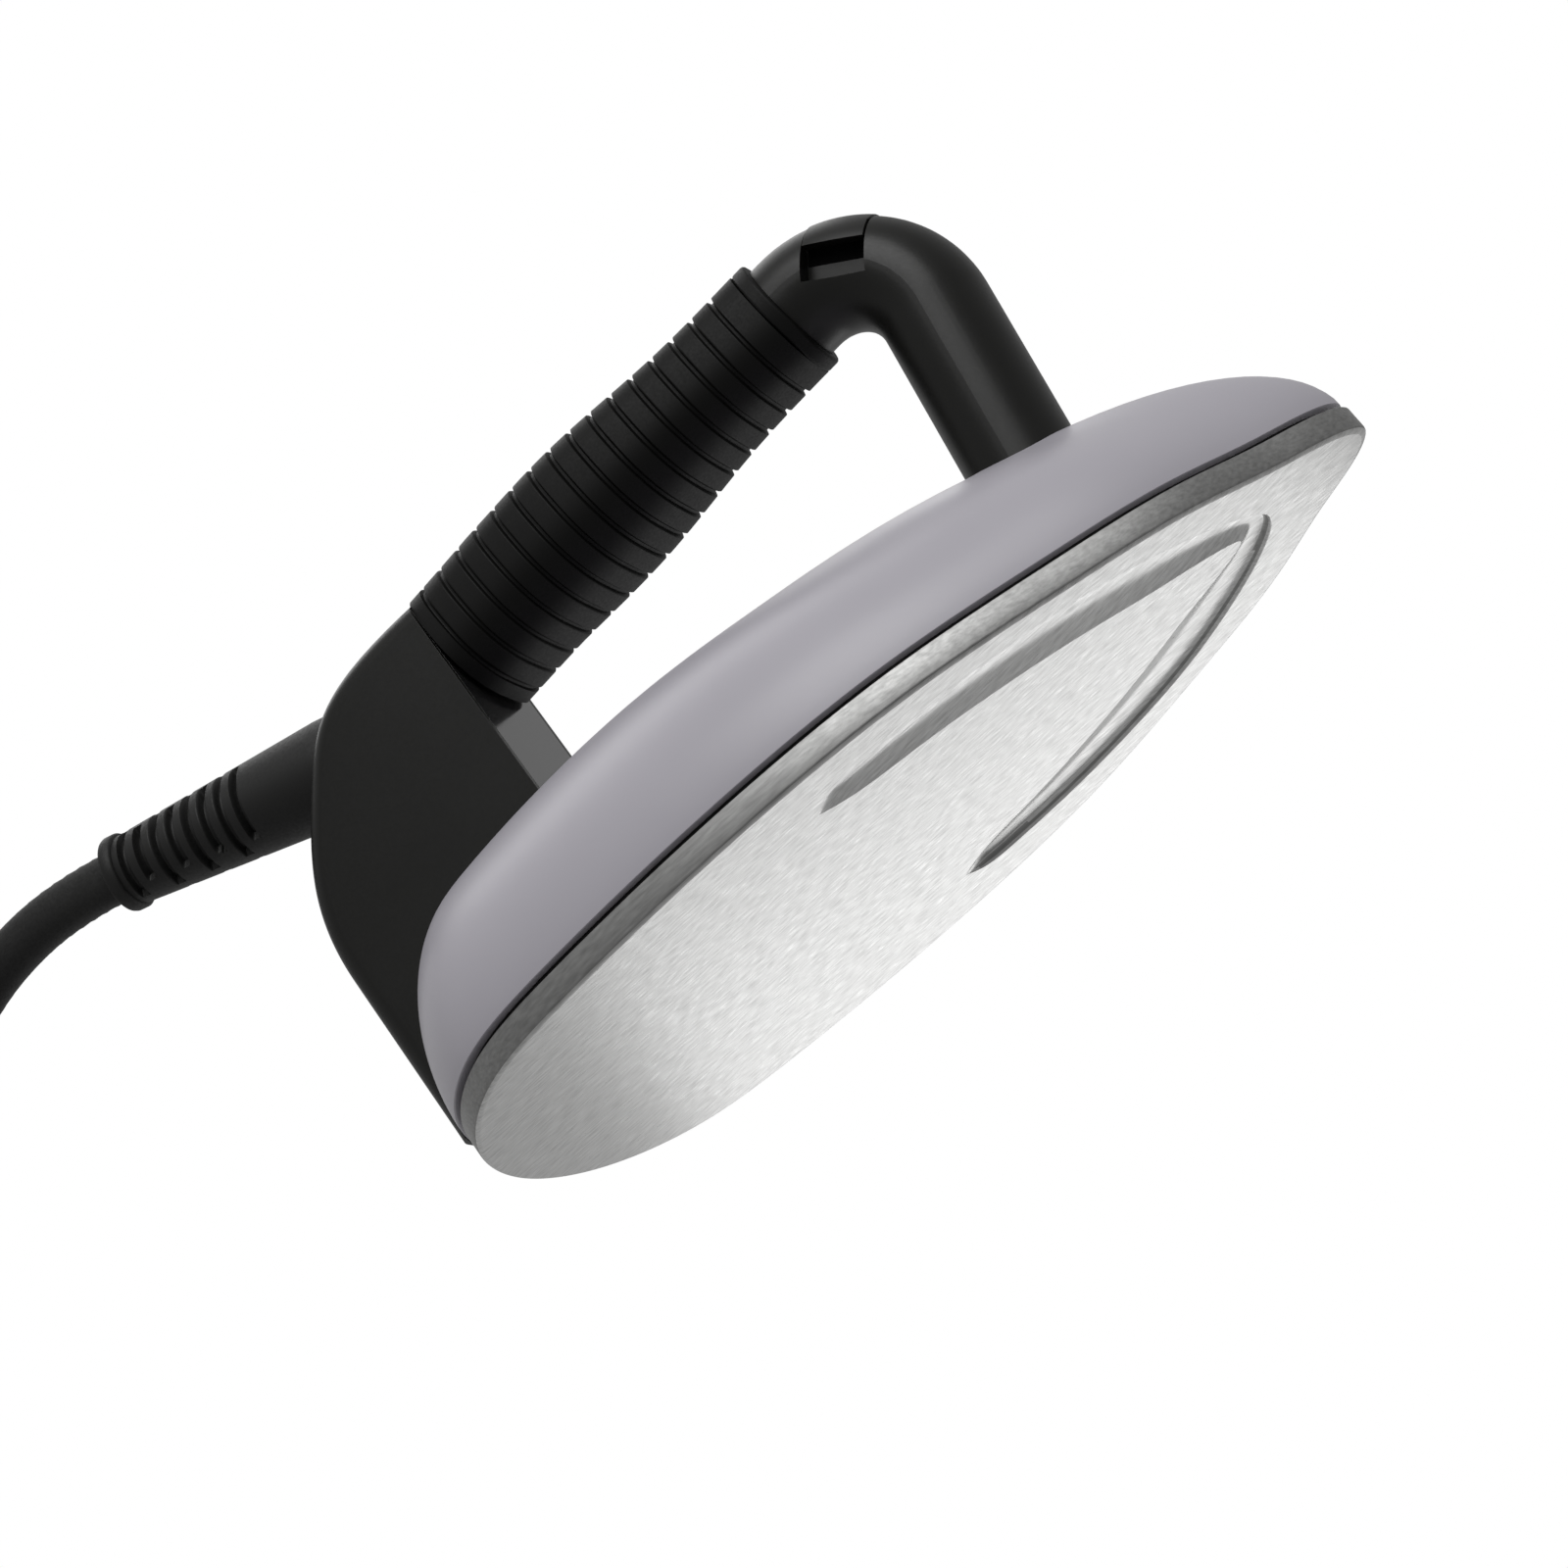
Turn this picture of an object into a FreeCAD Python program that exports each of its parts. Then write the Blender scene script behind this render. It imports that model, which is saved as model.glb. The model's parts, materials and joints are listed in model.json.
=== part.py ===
"""Steam-station clothes iron, millimetres.

The iron rests on its soleplate, flat on z = 0. +X points to the tip, +Y to the left, +Z up.
The origin is the centre of the sole's length, on the ironing face. Stations along the iron are
given from the sole's rear end, and x_at() turns them into X.
"""
import FreeCAD, Part
import math
import os
import Sketcher
from FreeCAD import Matrix, Placement, Rotation, Vector

doc = FreeCAD.newDocument("clothes_iron")
sheet = doc.addObject("Spreadsheet::Sheet", "sizes")

SIZES = {
    # ironing plate
    "sole_length": 215.0, "sole_width": 112.0, "sole_edge": 5.8, "sole_floor": 2.9, "rim_wall": 3.6,
    "channel_depth": 1.5, "vent_radius": 0.5, "vent_pitch": 8.0, "vent_inset": 1.8,
    # heater
    "casting_top": 14.0, "casting_gap": 0.6, "casting_step": 5.0,
    "element_radius": 3.4, "element_half_span": 24.0, "element_rear": 34.0, "element_front": 128.0,
    "element_level": 9.6, "element_proud": 5.0,
    "chamber_rear": 52.0, "chamber_front": 124.0, "chamber_half_width": 14.0, "chamber_floor": 8.0,
    "gasket_wall": 3.0, "gasket_thickness": 1.2, "lid_thickness": 2.2,
    "inlet_station": 68.0, "inlet_half": 6.0, "inlet_height": 8.0, "inlet_bore": 2.5, "hose_height": 4.3,
    "thermostat_station": 148.0, "thermostat_radius": 9.0, "thermostat_height": 7.0,
    "thermostat_ear": 13.0, "thermostat_ear_half": 2.0, "thermostat_ear_height": 1.2,
    "fuse_rear": 92.0, "fuse_front": 112.0, "fuse_near": 20.0, "fuse_far": 26.0, "fuse_height": 5.0,
    # joint band and body shell
    "band_height": 1.3, "band_inset": 2.0, "shell_inset": -0.4, "shell_tip_inset": 0.6, "shell_wall": 2.2,
    "dome_height": 40.7, "dome_rise": 0.070, "dome_centre": 29.0, "dome_power": 1.88,
    "deck_level": 26.0, "deck_thickness": 2.0, "deck_inset": 16.0, "standoff_radius": 4.0,
    "duct_station": 42.0, "duct_gap": 2.2, "lead_station": 30.0, "lead_gap": 1.4,
    # heel
    "heel_depth": 53.8, "heel_width": 35.0, "heel_top": 101.6, "heel_crown_drop": 1.5, "heel_edge": 4.6,
    "heel_wall": 2.4, "heel_gap": 0.2, "panel_thickness": 2.4, "panel_border": 1.3, "panel_gap": 0.15,
    # handle
    "handle_radius": 11.2, "core_radius": 9.4, "duct_radius": 6.2,
    "bend_radius": 18.8, "grip_slope": 3.7, "post_lean": 8.9,
    "corner_station": 172.4, "corner_level": 99.4, "seat_station": 47.0, "post_gap": 0.3,
    "spigot_radius": 7.4, "foot_screw_offset": 3.6, "foot_screw_reach": 9.0, "core_gap": 1.0,
    "anchor_width": 26.0, "anchor_drop": 12.5,
    # grip
    "grip_end": 143.6, "sleeve_gap": 0.1, "grip_rear_gap": 0.3,
    "grip_rear_width": 16.8, "grip_rear_height": 13.4, "grip_rear_drop": 0.7,
    "grip_mid_width": 17.4, "grip_mid_height": 13.7,
    "grip_front_width": 12.9, "grip_front_height": 12.2, "grip_squareness": 2.6,
    "rib_gap": 1.0, "rib_depth": 0.9, "collar_length": 3.4, "collar_radius": 13.2,
    # trigger
    "trigger_angle": 38.5, "trigger_length": 12.6, "trigger_skirt": 3.9, "trigger_proud": 0.3,
    "trigger_gap": 0.35, "trigger_roof": 8.0, "trigger_inner": 7.6, "trigger_travel": 1.8,
    "window_floor": 3.5, "bridge_width": 13.8, "bridge_top": 4.4, "bridge_roof": 1.2,
    "bridge_seat": 1.5, "switch_gap": 0.2,
    "stem_radius": 2.0, "stem_gap": 0.3, "plunger_radius": 1.2, "plunger_length": 4.8,
    "touch_gap": 0.1, "running_gap": 0.05, "switch_length": 9.6, "switch_width": 6.4,
    "switch_top": 1.6, "switch_bottom": 2.4, "spring_radius": 3.1, "spring_wire": 0.5, "spring_turns": 2.0,
    # cord outlet and cord
    "boot_tip_station": -34.4, "boot_tip_level": 108.3, "boot_rise": 17.5, "boot_reach": 70.0,
    "boot_root_radius": 10.8, "boot_tip_radius": 7.5, "boot_ring_radius": 8.3, "boot_ring_length": 3.6,
    "boot_neck": 16.0, "boot_gap": 0.15,
    "boot_slot": 1.7, "boot_slot_pitch": 8.4, "cord_diameter": 11.0,
    "coil_x": -324.0, "coil_y": -20.0, "coil_inner": 38.5, "coil_outer": 76.0, "coil_height": 20.4,
    "connector_angle": 235.0, "connector_lean": 20.0, "connector_ring": 57.0, "connector_tail": 10.0,
    "connector_length": 30.0, "connector_width": 24.0, "connector_height": 17.0, "connector_round": 3.5,
    "pin_radius": 1.8, "pin_length": 11.0, "nozzle_radius": 3.6, "nozzle_bore": 2.2,
    # terminal block and cord clamp
    "block_length": 22.0, "block_height": 9.0, "block_gap": 1.0, "block_round": 1.0,
    "block_station": 24.0, "block_floor": 53.5, "block_screw_station": 20.0, "block_screw_pitch": 9.0,
    "clamp_rear": 22.0, "clamp_front": 32.0, "clamp_floor": 68.0, "clamp_thickness": 4.0,
    "clamp_half": 13.0, "clamp_screw_pitch": 9.5,
    # fasteners and leads
    "screw_head": 3.4, "screw_shank": 1.7, "screw_head_height": 2.2, "hose_radius": 3.5, "lead_radius": 1.2,
}
for row, (alias, value) in enumerate(SIZES.items(), start=1):
    sheet.set(f"A{row}", alias)
    sheet.set(f"B{row}", str(value))
    sheet.setAlias(f"B{row}", alias)
doc.recompute()


def size(alias):
    """The sheet's value of one size."""
    return float(sheet.get(alias))


def x_at(station):
    """X of a station measured from the sole's rear end."""
    return station - size("sole_length") / 2


parts = []


def keep(item, label):
    """Name a finished sub-part and put it on the list of parts."""
    item.Label = label
    parts.append(item)
    return item


def feature(label, shape):
    """A sub-part whose form is computed from the sheet's sizes."""
    item = doc.addObject("Part::Feature", label)
    item.Shape = shape
    return keep(item, label)


def box(low, high):
    """A plain block between two corners."""
    low, high = Vector(*low), Vector(*high)
    span = high - low
    return Part.makeBox(span.x, span.y, span.z, low)


# ---------------------------------------------------------------- parametric helpers

def bound_cylinder(name, radius, height, place):
    """Part::Cylinder with its radius and height bound to the sheet."""
    item = doc.addObject("Part::Cylinder", name)
    item.setExpression("Radius", radius)
    item.setExpression("Height", height)
    item.Placement = place
    return item


def cut(name, base, tool):
    """Part::Cut of one item by another."""
    item = doc.addObject("Part::Cut", name)
    item.Base = base
    item.Tool = tool
    return item


def compound(name, items):
    """Several separate solids kept as one group."""
    item = doc.addObject("Part::Compound", name)
    item.Links = list(items)
    return item


def origin_plane(body, role):
    return [item for item in body.Origin.OriginFeatures if item.Role == role][0]


def body_with_sketch(label, role):
    """A PartDesign body with one sketch on its own origin plane."""
    body = doc.addObject("PartDesign::Body", label)
    sketch = body.newObject("Sketcher::SketchObject", label + "_sketch")
    sketch.AttachmentSupport = [(origin_plane(body, role), "")]
    sketch.MapMode = "FlatFace"
    return body, sketch


def sketch_rectangle(sketch, across, along):
    """A rectangle centred on the sketch's origin, both sizes bound to expressions."""
    corners = [Vector(-5, -5, 0), Vector(5, -5, 0), Vector(5, 5, 0), Vector(-5, 5, 0)]
    for i in range(4):
        sketch.addGeometry(Part.LineSegment(corners[i], corners[(i + 1) % 4]))
    for i in range(4):
        sketch.addConstraint(Sketcher.Constraint("Coincident", i, 2, (i + 1) % 4, 1))
    for side, kind in enumerate(("Horizontal", "Vertical", "Horizontal", "Vertical")):
        sketch.addConstraint(Sketcher.Constraint(kind, side))
    sketch.addConstraint(Sketcher.Constraint("Symmetric", 0, 1, 1, 2, -1, 1))
    first = sketch.addConstraint(Sketcher.Constraint("DistanceX", 0, 1, 0, 2, 10.0))
    second = sketch.addConstraint(Sketcher.Constraint("DistanceY", 1, 1, 1, 2, 10.0))
    sketch.setExpression(f"Constraints[{first}]", across)
    sketch.setExpression(f"Constraints[{second}]", along)


def padded_block(label, across, along, tall, place, corner=None):
    """A PartDesign block: rectangle, pad and, if asked, rounded upright edges."""
    body, sketch = body_with_sketch(label, "XY_Plane")
    sketch_rectangle(sketch, across, along)
    pad = body.newObject("PartDesign::Pad", label + "_pad")
    pad.Profile = sketch
    pad.setExpression("Length", tall)
    doc.recompute()
    if corner:
        edges = [f"Edge{i}" for i, edge in enumerate(pad.Shape.Edges, start=1)
                 if abs(edge.tangentAt(edge.FirstParameter).z) > 0.99]
        rounding = body.newObject("PartDesign::Fillet", label + "_corners")
        rounding.Base = (pad, edges)
        rounding.setExpression("Radius", corner)
    body.Placement = place
    return body


def padded_disc(label, outer, inner, tall, place):
    """A PartDesign disc or ring: one or two circles and a pad."""
    body, sketch = body_with_sketch(label, "XY_Plane")
    for radius in (outer, inner) if inner else (outer,):
        index = sketch.addGeometry(Part.Circle(Vector(0, 0, 0), Vector(0, 0, 1), 5.0))
        sketch.addConstraint(Sketcher.Constraint("Coincident", index, 3, -1, 1))
        bound = sketch.addConstraint(Sketcher.Constraint("Radius", index, 5.0))
        sketch.setExpression(f"Constraints[{bound}]", radius)
    pad = body.newObject("PartDesign::Pad", label + "_pad")
    pad.Profile = sketch
    pad.setExpression("Length", tall)
    body.Placement = place
    return body


def turned(label, profile, place):
    """A PartDesign revolution about Z of (radius, height) points bound to expressions."""
    body, sketch = body_with_sketch(label, "XZ_Plane")
    count = len(profile)
    values = [(evaluate(r), evaluate(z)) for r, z in profile]
    guess = [Vector(r, z, 0) for r, z in values]
    for i in range(count):
        sketch.addGeometry(Part.LineSegment(guess[i], guess[(i + 1) % count]))
    for i in range(count):
        sketch.addConstraint(Sketcher.Constraint("Coincident", i, 2, (i + 1) % count, 1))
    for i, (r, z) in enumerate(profile):
        for kind, axis, text, value in (("DistanceX", -2, r, values[i][0]),
                                        ("DistanceY", -1, z, values[i][1])):
            if text == "0":
                sketch.addConstraint(Sketcher.Constraint("PointOnObject", i, 1, axis))
                continue
            index = sketch.addConstraint(Sketcher.Constraint(kind, -1, 1, i, 1, value))
            sketch.setExpression(f"Constraints[{index}]", text)
    spin = body.newObject("PartDesign::Revolution", label + "_turn")
    spin.Profile = sketch
    spin.ReferenceAxis = (sketch, ["V_Axis"])
    spin.Angle = 360.0
    body.Placement = place
    return body


def evaluate(text):
    """The present value of an expression on the sheet."""
    return float(sheet.evalExpression(text))


# ---------------------------------------------------------------- shared forms

# Half of the sole's outline: (share of the length from the rear, share of the half width).
OUTLINE = [(0.0, 0.0), (0.012, 0.31), (0.056, 0.642), (0.116, 0.842), (0.209, 0.942), (0.41, 1.0),
           (0.605, 0.912), (0.745, 0.706), (0.86, 0.482), (0.93, 0.272), (0.96, 0.194), (0.98, 0.133),
           (0.992, 0.081), (1.0, 0.0)]
TIP_INSET_RATIO = 1.7          # an inset of 1 along the sides moves the pointed tip back by this much


def scaled(wire, matrix):
    """A wire's edges taken through an affine map."""
    return Part.Wire([Part.Shape(edge).transformGeometry(matrix).Edges[0] for edge in wire.Edges])


def side_points(shares):
    """Points on the near side from (share of the length, share of the half width)."""
    half_width = size("sole_width") / 2
    return [Vector(x_at(share * size("sole_length")), -across * half_width, 0) for share, across in shares]


def mirrored(points):
    """The far side's points, in the order that carries a line on from the near side's last one."""
    return [Vector(point.x, -point.y, 0) for point in reversed(points[:-1])]


def full_outline():
    """The sole's outline at full size, on z = 0: one smooth closed line."""
    near = side_points(OUTLINE)
    curve = Part.BSplineCurve()
    curve.interpolate(Points=near + mirrored(near)[:-1], PeriodicFlag=True)
    return Part.Wire([curve.toShape()])


outline = full_outline()


def outline_wire(inset, tip_extra=0.0):
    """The outline moved in by an inset, the tip a little further: one affine map, so that insets nest."""
    across = 1 - 2 * inset / size("sole_width")
    along = 1 - (inset * (1 + TIP_INSET_RATIO) + tip_extra) / size("sole_length")
    rear = x_at(0)
    return scaled(outline, Matrix(along, 0, 0, rear + inset - rear * along,
                                  0, across, 0, 0,
                                  0, 0, 1, 0,
                                  0, 0, 0, 1))


def plate(inset, low, high):
    """The outline pulled up into a plate between two levels."""
    face = Part.Face(outline_wire(inset))
    face.translate(Vector(0, 0, low))
    return face.extrude(Vector(0, 0, high - low))


DOME_LEVELS = (0.0, 0.13, 0.26, 0.39, 0.51, 0.62, 0.72, 0.81, 0.88, 0.93, 0.965, 0.99)


def dome(grow):
    """The body shell's outer form, grown outwards (or, if negative, inwards) by a wall."""
    base_level = size("sole_edge") + size("band_height")
    centre = x_at(size("dome_centre"))
    height = size("dome_height") + grow
    rise = size("dome_rise")
    base = outline_wire(size("shell_inset") - grow,
                        size("shell_tip_inset") - size("shell_inset") * TIP_INSET_RATIO)
    wires = []
    for share in DOME_LEVELS:
        scale = math.sqrt(1 - share ** size("dome_power"))
        lift = share * rise * scale
        offset = share * (height + rise * size("dome_centre")) + base_level
        matrix = Matrix(scale, 0, 0, centre * (1 - scale),
                        0, scale, 0, 0,
                        lift, 0, 1, offset - lift * centre,
                        0, 0, 0, 1)
        wires.append(scaled(base, matrix))
    return Part.makeLoft(wires, True, False)


def direction(pitch):
    """Unit vector in the XZ plane, pitch in degrees above +X."""
    return Vector(math.cos(math.radians(pitch)), 0, math.sin(math.radians(pitch)))


def rounded_path(points, radii):
    """Straight runs through the points, joined by tangent arcs of the given radii."""
    edges = []
    start = points[0]
    for i, radius in enumerate(radii, start=1):
        corner = points[i]
        back = (points[i - 1] - corner).normalize()
        ahead = (points[i + 1] - corner).normalize()
        half = back.getAngle(ahead) / 2
        reach = radius / math.tan(half)
        first, last = corner + back * reach, corner + ahead * reach
        centre_line = (back + ahead).normalize()
        middle = corner + centre_line * (radius / math.sin(half) - radius)
        if (first - start).Length > 1e-6:
            edges.append(Part.LineSegment(start, first).toShape())
        edges.append(Part.Arc(first, middle, last).toShape())
        start = last
    edges.append(Part.LineSegment(start, points[-1]).toShape())
    return Part.Wire(edges)


def round_bar(path, radius):
    """A round section swept along a path of tangent runs and arcs."""
    start = path.Edges[0]
    ring = Part.Wire(Part.makeCircle(radius, start.valueAt(start.FirstParameter),
                                     start.tangentAt(start.FirstParameter)))
    return path.makePipeShell([ring], True, False)


def rod(start, along, length, radius):
    return Part.makeCylinder(radius, length, start, along)


def screw(x, y, z, shank, upward=False):
    """A cap screw: the head stands on the level z, the shank goes the other way."""
    way = Vector(0, 0, -1 if upward else 1)
    head = rod(Vector(x, y, z), way, size("screw_head_height"), size("screw_head"))
    socket = rod(Vector(x, y, z) + way * (size("screw_head_height") / 2), way,
                 size("screw_head_height"), size("screw_shank"))
    return head.cut(socket).fuse(rod(Vector(x, y, z), way * -1, shank, size("screw_shank"))).removeSplitter()


# Handle frame: the grip's axis rises to the corner, the post leans forward and goes down.
grip_way = direction(size("grip_slope"))
post_way = direction(-90 - size("post_lean"))
corner = Vector(x_at(size("corner_station")), 0, size("corner_level"))
bend_turn = grip_way.getAngle(post_way)
bend_start = corner - grip_way * (size("bend_radius") * math.tan(bend_turn / 2))
bend_inward = Vector(grip_way.z, 0, -grip_way.x)
bend_centre = bend_start + bend_inward * size("bend_radius")


def grip_point(station):
    """The point of the grip's axis at a station."""
    return corner - grip_way * ((corner.x - x_at(station)) / grip_way.x)


def handle_path(first, last_level):
    """The handle's centre line from a station on the grip to a level on the post."""
    foot = corner + post_way * ((last_level - corner.z) / post_way.z)
    return rounded_path([grip_point(first), corner, foot], [size("bend_radius")])


# Trigger frame: x along the handle, y to the left, z straight out of the bend.
trigger_turn = math.radians(size("trigger_angle"))
trigger_out = bend_inward * -math.cos(trigger_turn) + grip_way * math.sin(trigger_turn)
trigger_along = Vector(trigger_out.z, 0, -trigger_out.x)
trigger_origin = bend_centre + trigger_out * size("bend_radius")
trigger_frame = Placement(Matrix(trigger_along.x, 0, trigger_out.x, trigger_origin.x,
                                 0, 1, 0, 0,
                                 trigger_along.z, 0, trigger_out.z, trigger_origin.z,
                                 0, 0, 0, 1))


def in_trigger(shape):
    """Move a shape made in the trigger's own frame to its place."""
    return shape.transformed(trigger_frame.toMatrix())


# ---------------------------------------------------------------- soleplate and heater

# One side of the V channel: (share of the sole's length, share of its half width) along each edge.
CHANNEL_OUTER = [(0.459, 0.672), (0.474, 0.738), (0.512, 0.763), (0.586, 0.745), (0.665, 0.68),
                 (0.744, 0.564), (0.819, 0.371), (0.873, 0.161), (0.891, 0.0)]
CHANNEL_INNER = [(0.459, 0.672), (0.484, 0.614), (0.549, 0.546), (0.633, 0.45), (0.712, 0.321),
                 (0.786, 0.171), (0.844, 0.057), (0.8586, 0.0)]


def channel_edge(shares):
    """One edge of the V channel, from the near arm's end round the nose to the far arm's end."""
    near = side_points(shares)
    curve = Part.BSplineCurve()
    curve.interpolate(Points=near + mirrored(near))
    return curve.toShape()


def channel_tool():
    """The V channel as a solid to cut, wide in the middle of each arm and round at its ends."""
    wire = Part.Wire(Part.__sortEdges__([channel_edge(CHANNEL_OUTER), channel_edge(CHANNEL_INNER)]))
    return Part.Face(wire).extrude(Vector(0, 0, size("channel_depth")))


def vents():
    """Steam vents along the foot of the channel's outer wall."""
    holes = []
    outer = channel_edge(CHANNEL_OUTER)
    count = int(outer.Length / size("vent_pitch"))
    for i in range(1, count):
        value = outer.getParameterByLength(outer.Length * i / count)
        along = outer.tangentAt(value)
        place = outer.valueAt(value) + Vector(-along.y, along.x, 0) * size("vent_inset")
        holes.append(Part.makeCylinder(size("vent_radius"), size("casting_top"), place))
    return Part.makeCompound(holes)


def soleplate():
    """The ironing plate: a rim, a thin floor, the V channel in its face and the vents."""
    edge = size("sole_edge")
    body = plate(0, 0, edge).cut(plate(size("rim_wall"), size("sole_floor"), edge + 1))
    body = body.cut(channel_tool()).cut(vents())
    return body


def heating_element():
    """A tubular element: two legs joined by a half ring at the front, ends turned up at the rear."""
    span, level, radius = size("element_half_span"), size("element_level"), size("element_radius")
    rear, front = x_at(size("element_rear")), x_at(size("element_front"))
    bend = Part.makeTorus(span, radius, Vector(front, 0, level), Vector(0, 0, 1), -180, 180, 180)
    bend.rotate(Vector(front, 0, level), Vector(0, 0, 1), -90)
    pieces = []
    for side in (-1, 1):
        knee = Vector(rear, side * span, level)
        pieces.append(rod(knee, Vector(1, 0, 0), front - rear, radius))
        pieces.append(Part.makeSphere(radius, knee))
        pieces.append(rod(knee, Vector(0, 0, 1), size("casting_top") + size("element_proud") - level, radius))
    return bend.multiFuse(pieces)


def chamber_box(margin, low, high):
    """The steam chamber's block, grown sideways by a margin, between two levels."""
    half = size("chamber_half_width") + margin
    return box((x_at(size("chamber_rear")) - margin, -half, low),
               (x_at(size("chamber_front")) + margin, half, high))


def heater_casting(element):
    """The stepped casting that fills the sole, with the chamber and the element's bed sunk in it."""
    inset = size("rim_wall") + size("casting_gap")
    body = plate(inset, size("sole_floor"), size("sole_edge"))
    body = body.fuse(plate(inset + size("casting_step"), size("sole_floor"), size("casting_top")))
    body = body.cut(chamber_box(0, size("chamber_floor"), size("casting_top") + 1)).cut(element)
    return body.cut(vents())


def chamber_levels():
    """The tops of the chamber's gasket and of its lid."""
    gasket_top = size("casting_top") + size("gasket_thickness")
    return gasket_top, gasket_top + size("lid_thickness")


feature("soleplate", soleplate())
element = feature("heating_element", heating_element())
feature("heater_casting", heater_casting(element.Shape))
gasket_top, lid_top = chamber_levels()
gasket_margin = size("gasket_wall")
feature("chamber_gasket", chamber_box(gasket_margin, size("casting_top"), gasket_top)
        .cut(chamber_box(0, size("casting_top") - 1, gasket_top + 1)))
inlet_x = x_at(size("inlet_station"))
lid = chamber_box(gasket_margin, gasket_top, lid_top)
feature("chamber_lid", lid.cut(Part.makeCylinder(size("inlet_bore"), 2 * lid_top,
                                                 Vector(inlet_x, 0, size("chamber_floor")))))


# ---------------------------------------------------------------- body shell and its deck

band_top = size("sole_edge") + size("band_height")
deck_top = size("deck_level") + size("deck_thickness")
duct_x = x_at(size("duct_station"))     # where the steam hose rises into the heel
lead_x = x_at(size("lead_station"))     # where the heater's leads rise into the heel


def post_bar(grow, low):
    """The handle's bend and post as one solid bar, down to a level."""
    path = handle_path(size("grip_end"), low)
    return round_bar(path, size("handle_radius") + grow)


def heel_block(inset, floor):
    """The heel's outer form, moved in by an inset: a slab whose back rounds over into its top."""
    depth = x_at(size("heel_depth"))
    radius = size("heel_depth") - inset
    centre = Vector(depth, 0, size("heel_top") - size("heel_depth"))
    rounding = [centre + Vector(-math.cos(turn) * radius, 0, math.sin(turn) * radius)
                for turn in (0.0, math.pi / 8, math.pi / 4)]
    rounding.append(Vector(depth, 0, size("heel_top") - size("heel_crown_drop") - inset))
    back = Part.BSplineCurve()
    back.interpolate(Points=rounding, InitialTangent=Vector(0, 0, 1), FinalTangent=Vector(1, 0, 0))
    low, front = Vector(rounding[0].x, 0, floor), Vector(depth, 0, floor)
    wire = Part.Wire([Part.LineSegment(low, rounding[0]).toShape(), back.toShape(),
                      Part.LineSegment(rounding[-1], front).toShape(),
                      Part.LineSegment(front, low).toShape()])
    half = size("heel_width") / 2 - inset
    slab = Part.Face(wire)
    slab.translate(Vector(0, -half, 0))
    slab = slab.extrude(Vector(0, 2 * half, 0))
    if inset:
        return slab
    flat = 1e-6
    outer_edges = [edge for edge in slab.Edges
                   if edge.BoundBox.YLength < flat and edge.BoundBox.XMin < depth - 1
                   and edge.BoundBox.ZMax > floor + 1]
    return slab.makeFillet(size("heel_edge"), outer_edges)


def passages():
    """Bores for the steam hose and the heater's leads, up through deck and shell."""
    reach = size("heel_top")
    floor = band_top + size("shell_wall")
    holes = [Part.makeCylinder(size("hose_radius") + size("duct_gap"), reach, Vector(duct_x, 0, floor))]
    for side in (-1, 1):
        holes.append(Part.makeCylinder(size("lead_radius") + size("lead_gap"), reach,
                                       Vector(lead_x, side * size("element_half_span") / 2, floor)))
    return Part.makeCompound(holes)


outer_dome = dome(0)
inner_dome = dome(-size("shell_wall"))
post_hole = post_bar(size("post_gap"), size("deck_level") - 1)

feature("joint_band", plate(size("band_inset"), size("sole_edge"), band_top)
        .cut(plate(size("rim_wall"), size("sole_edge") - 1, band_top + 1)))
feature("body_shell", outer_dome.cut(inner_dome).cut(post_hole).cut(passages()))

deck = plate(size("deck_inset"), size("deck_level"), deck_top).cut(passages())
deck_drill = size("deck_level") - 5     # where every drill through the deck starts
drill_reach = 4 * size("deck_thickness")
for side in (-1, 1):
    deck = deck.cut(Part.makeCylinder(size("lead_radius") + size("lead_gap"), drill_reach, Vector(
        x_at(size("element_rear")), side * size("element_half_span"), deck_drill)))
standoffs = [(74.0, 34.0), (74.0, -34.0), (150.0, 22.0), (150.0, -22.0)]     # (station, Y)
for station, y in standoffs:
    deck = deck.cut(Part.makeCylinder(size("screw_shank"), drill_reach, Vector(x_at(station), y, deck_drill)))
foot_middle = corner + post_way * ((deck_top - corner.z) / post_way.z)
foot_screws = [(foot_middle.x, side * size("foot_screw_offset")) for side in (-1, 1)]
for x, y in foot_screws:
    deck = deck.cut(Part.makeCylinder(size("screw_shank"), drill_reach, Vector(x, y, deck_drill)))
feature("inner_deck", deck)
casting_top = size("casting_top")
deck_screw_reach = 7.0
feature("deck_standoffs", Part.makeCompound(
    [Part.makeCylinder(size("standoff_radius"), size("deck_level") - casting_top,
                       Vector(x_at(station), y, casting_top))
     .cut(Part.makeCylinder(size("screw_shank"), deck_screw_reach + 1,
                            Vector(x_at(station), y, size("deck_level") - deck_screw_reach)))
     for station, y in standoffs]))
feature("deck_screws", Part.makeCompound(
    [screw(x_at(station), y, deck_top, deck_screw_reach) for station, y in standoffs]))

# ---------------------------------------------------------------- handle

duct = round_bar(handle_path(size("seat_station") - 1, size("deck_level") - 1), size("duct_radius"))
collar_front = size("grip_end") + size("collar_length")
core_start = size("heel_depth") + size("core_gap")
core = rod(grip_point(core_start), grip_way, (collar_front + 1 - core_start) / grip_way.x,
           size("core_radius"))
spigot = rod(grip_point(size("seat_station")), grip_way,
             (core_start + 1 - size("seat_station")) / grip_way.x, size("spigot_radius"))
core = core.fuse(spigot)
post = round_bar(handle_path(collar_front, size("deck_level") - 12), size("handle_radius"))
below_deck = box((-200, -60, -60), (200, 60, deck_top))
handle_form = post.fuse(core).cut(below_deck).cut(duct)

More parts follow.
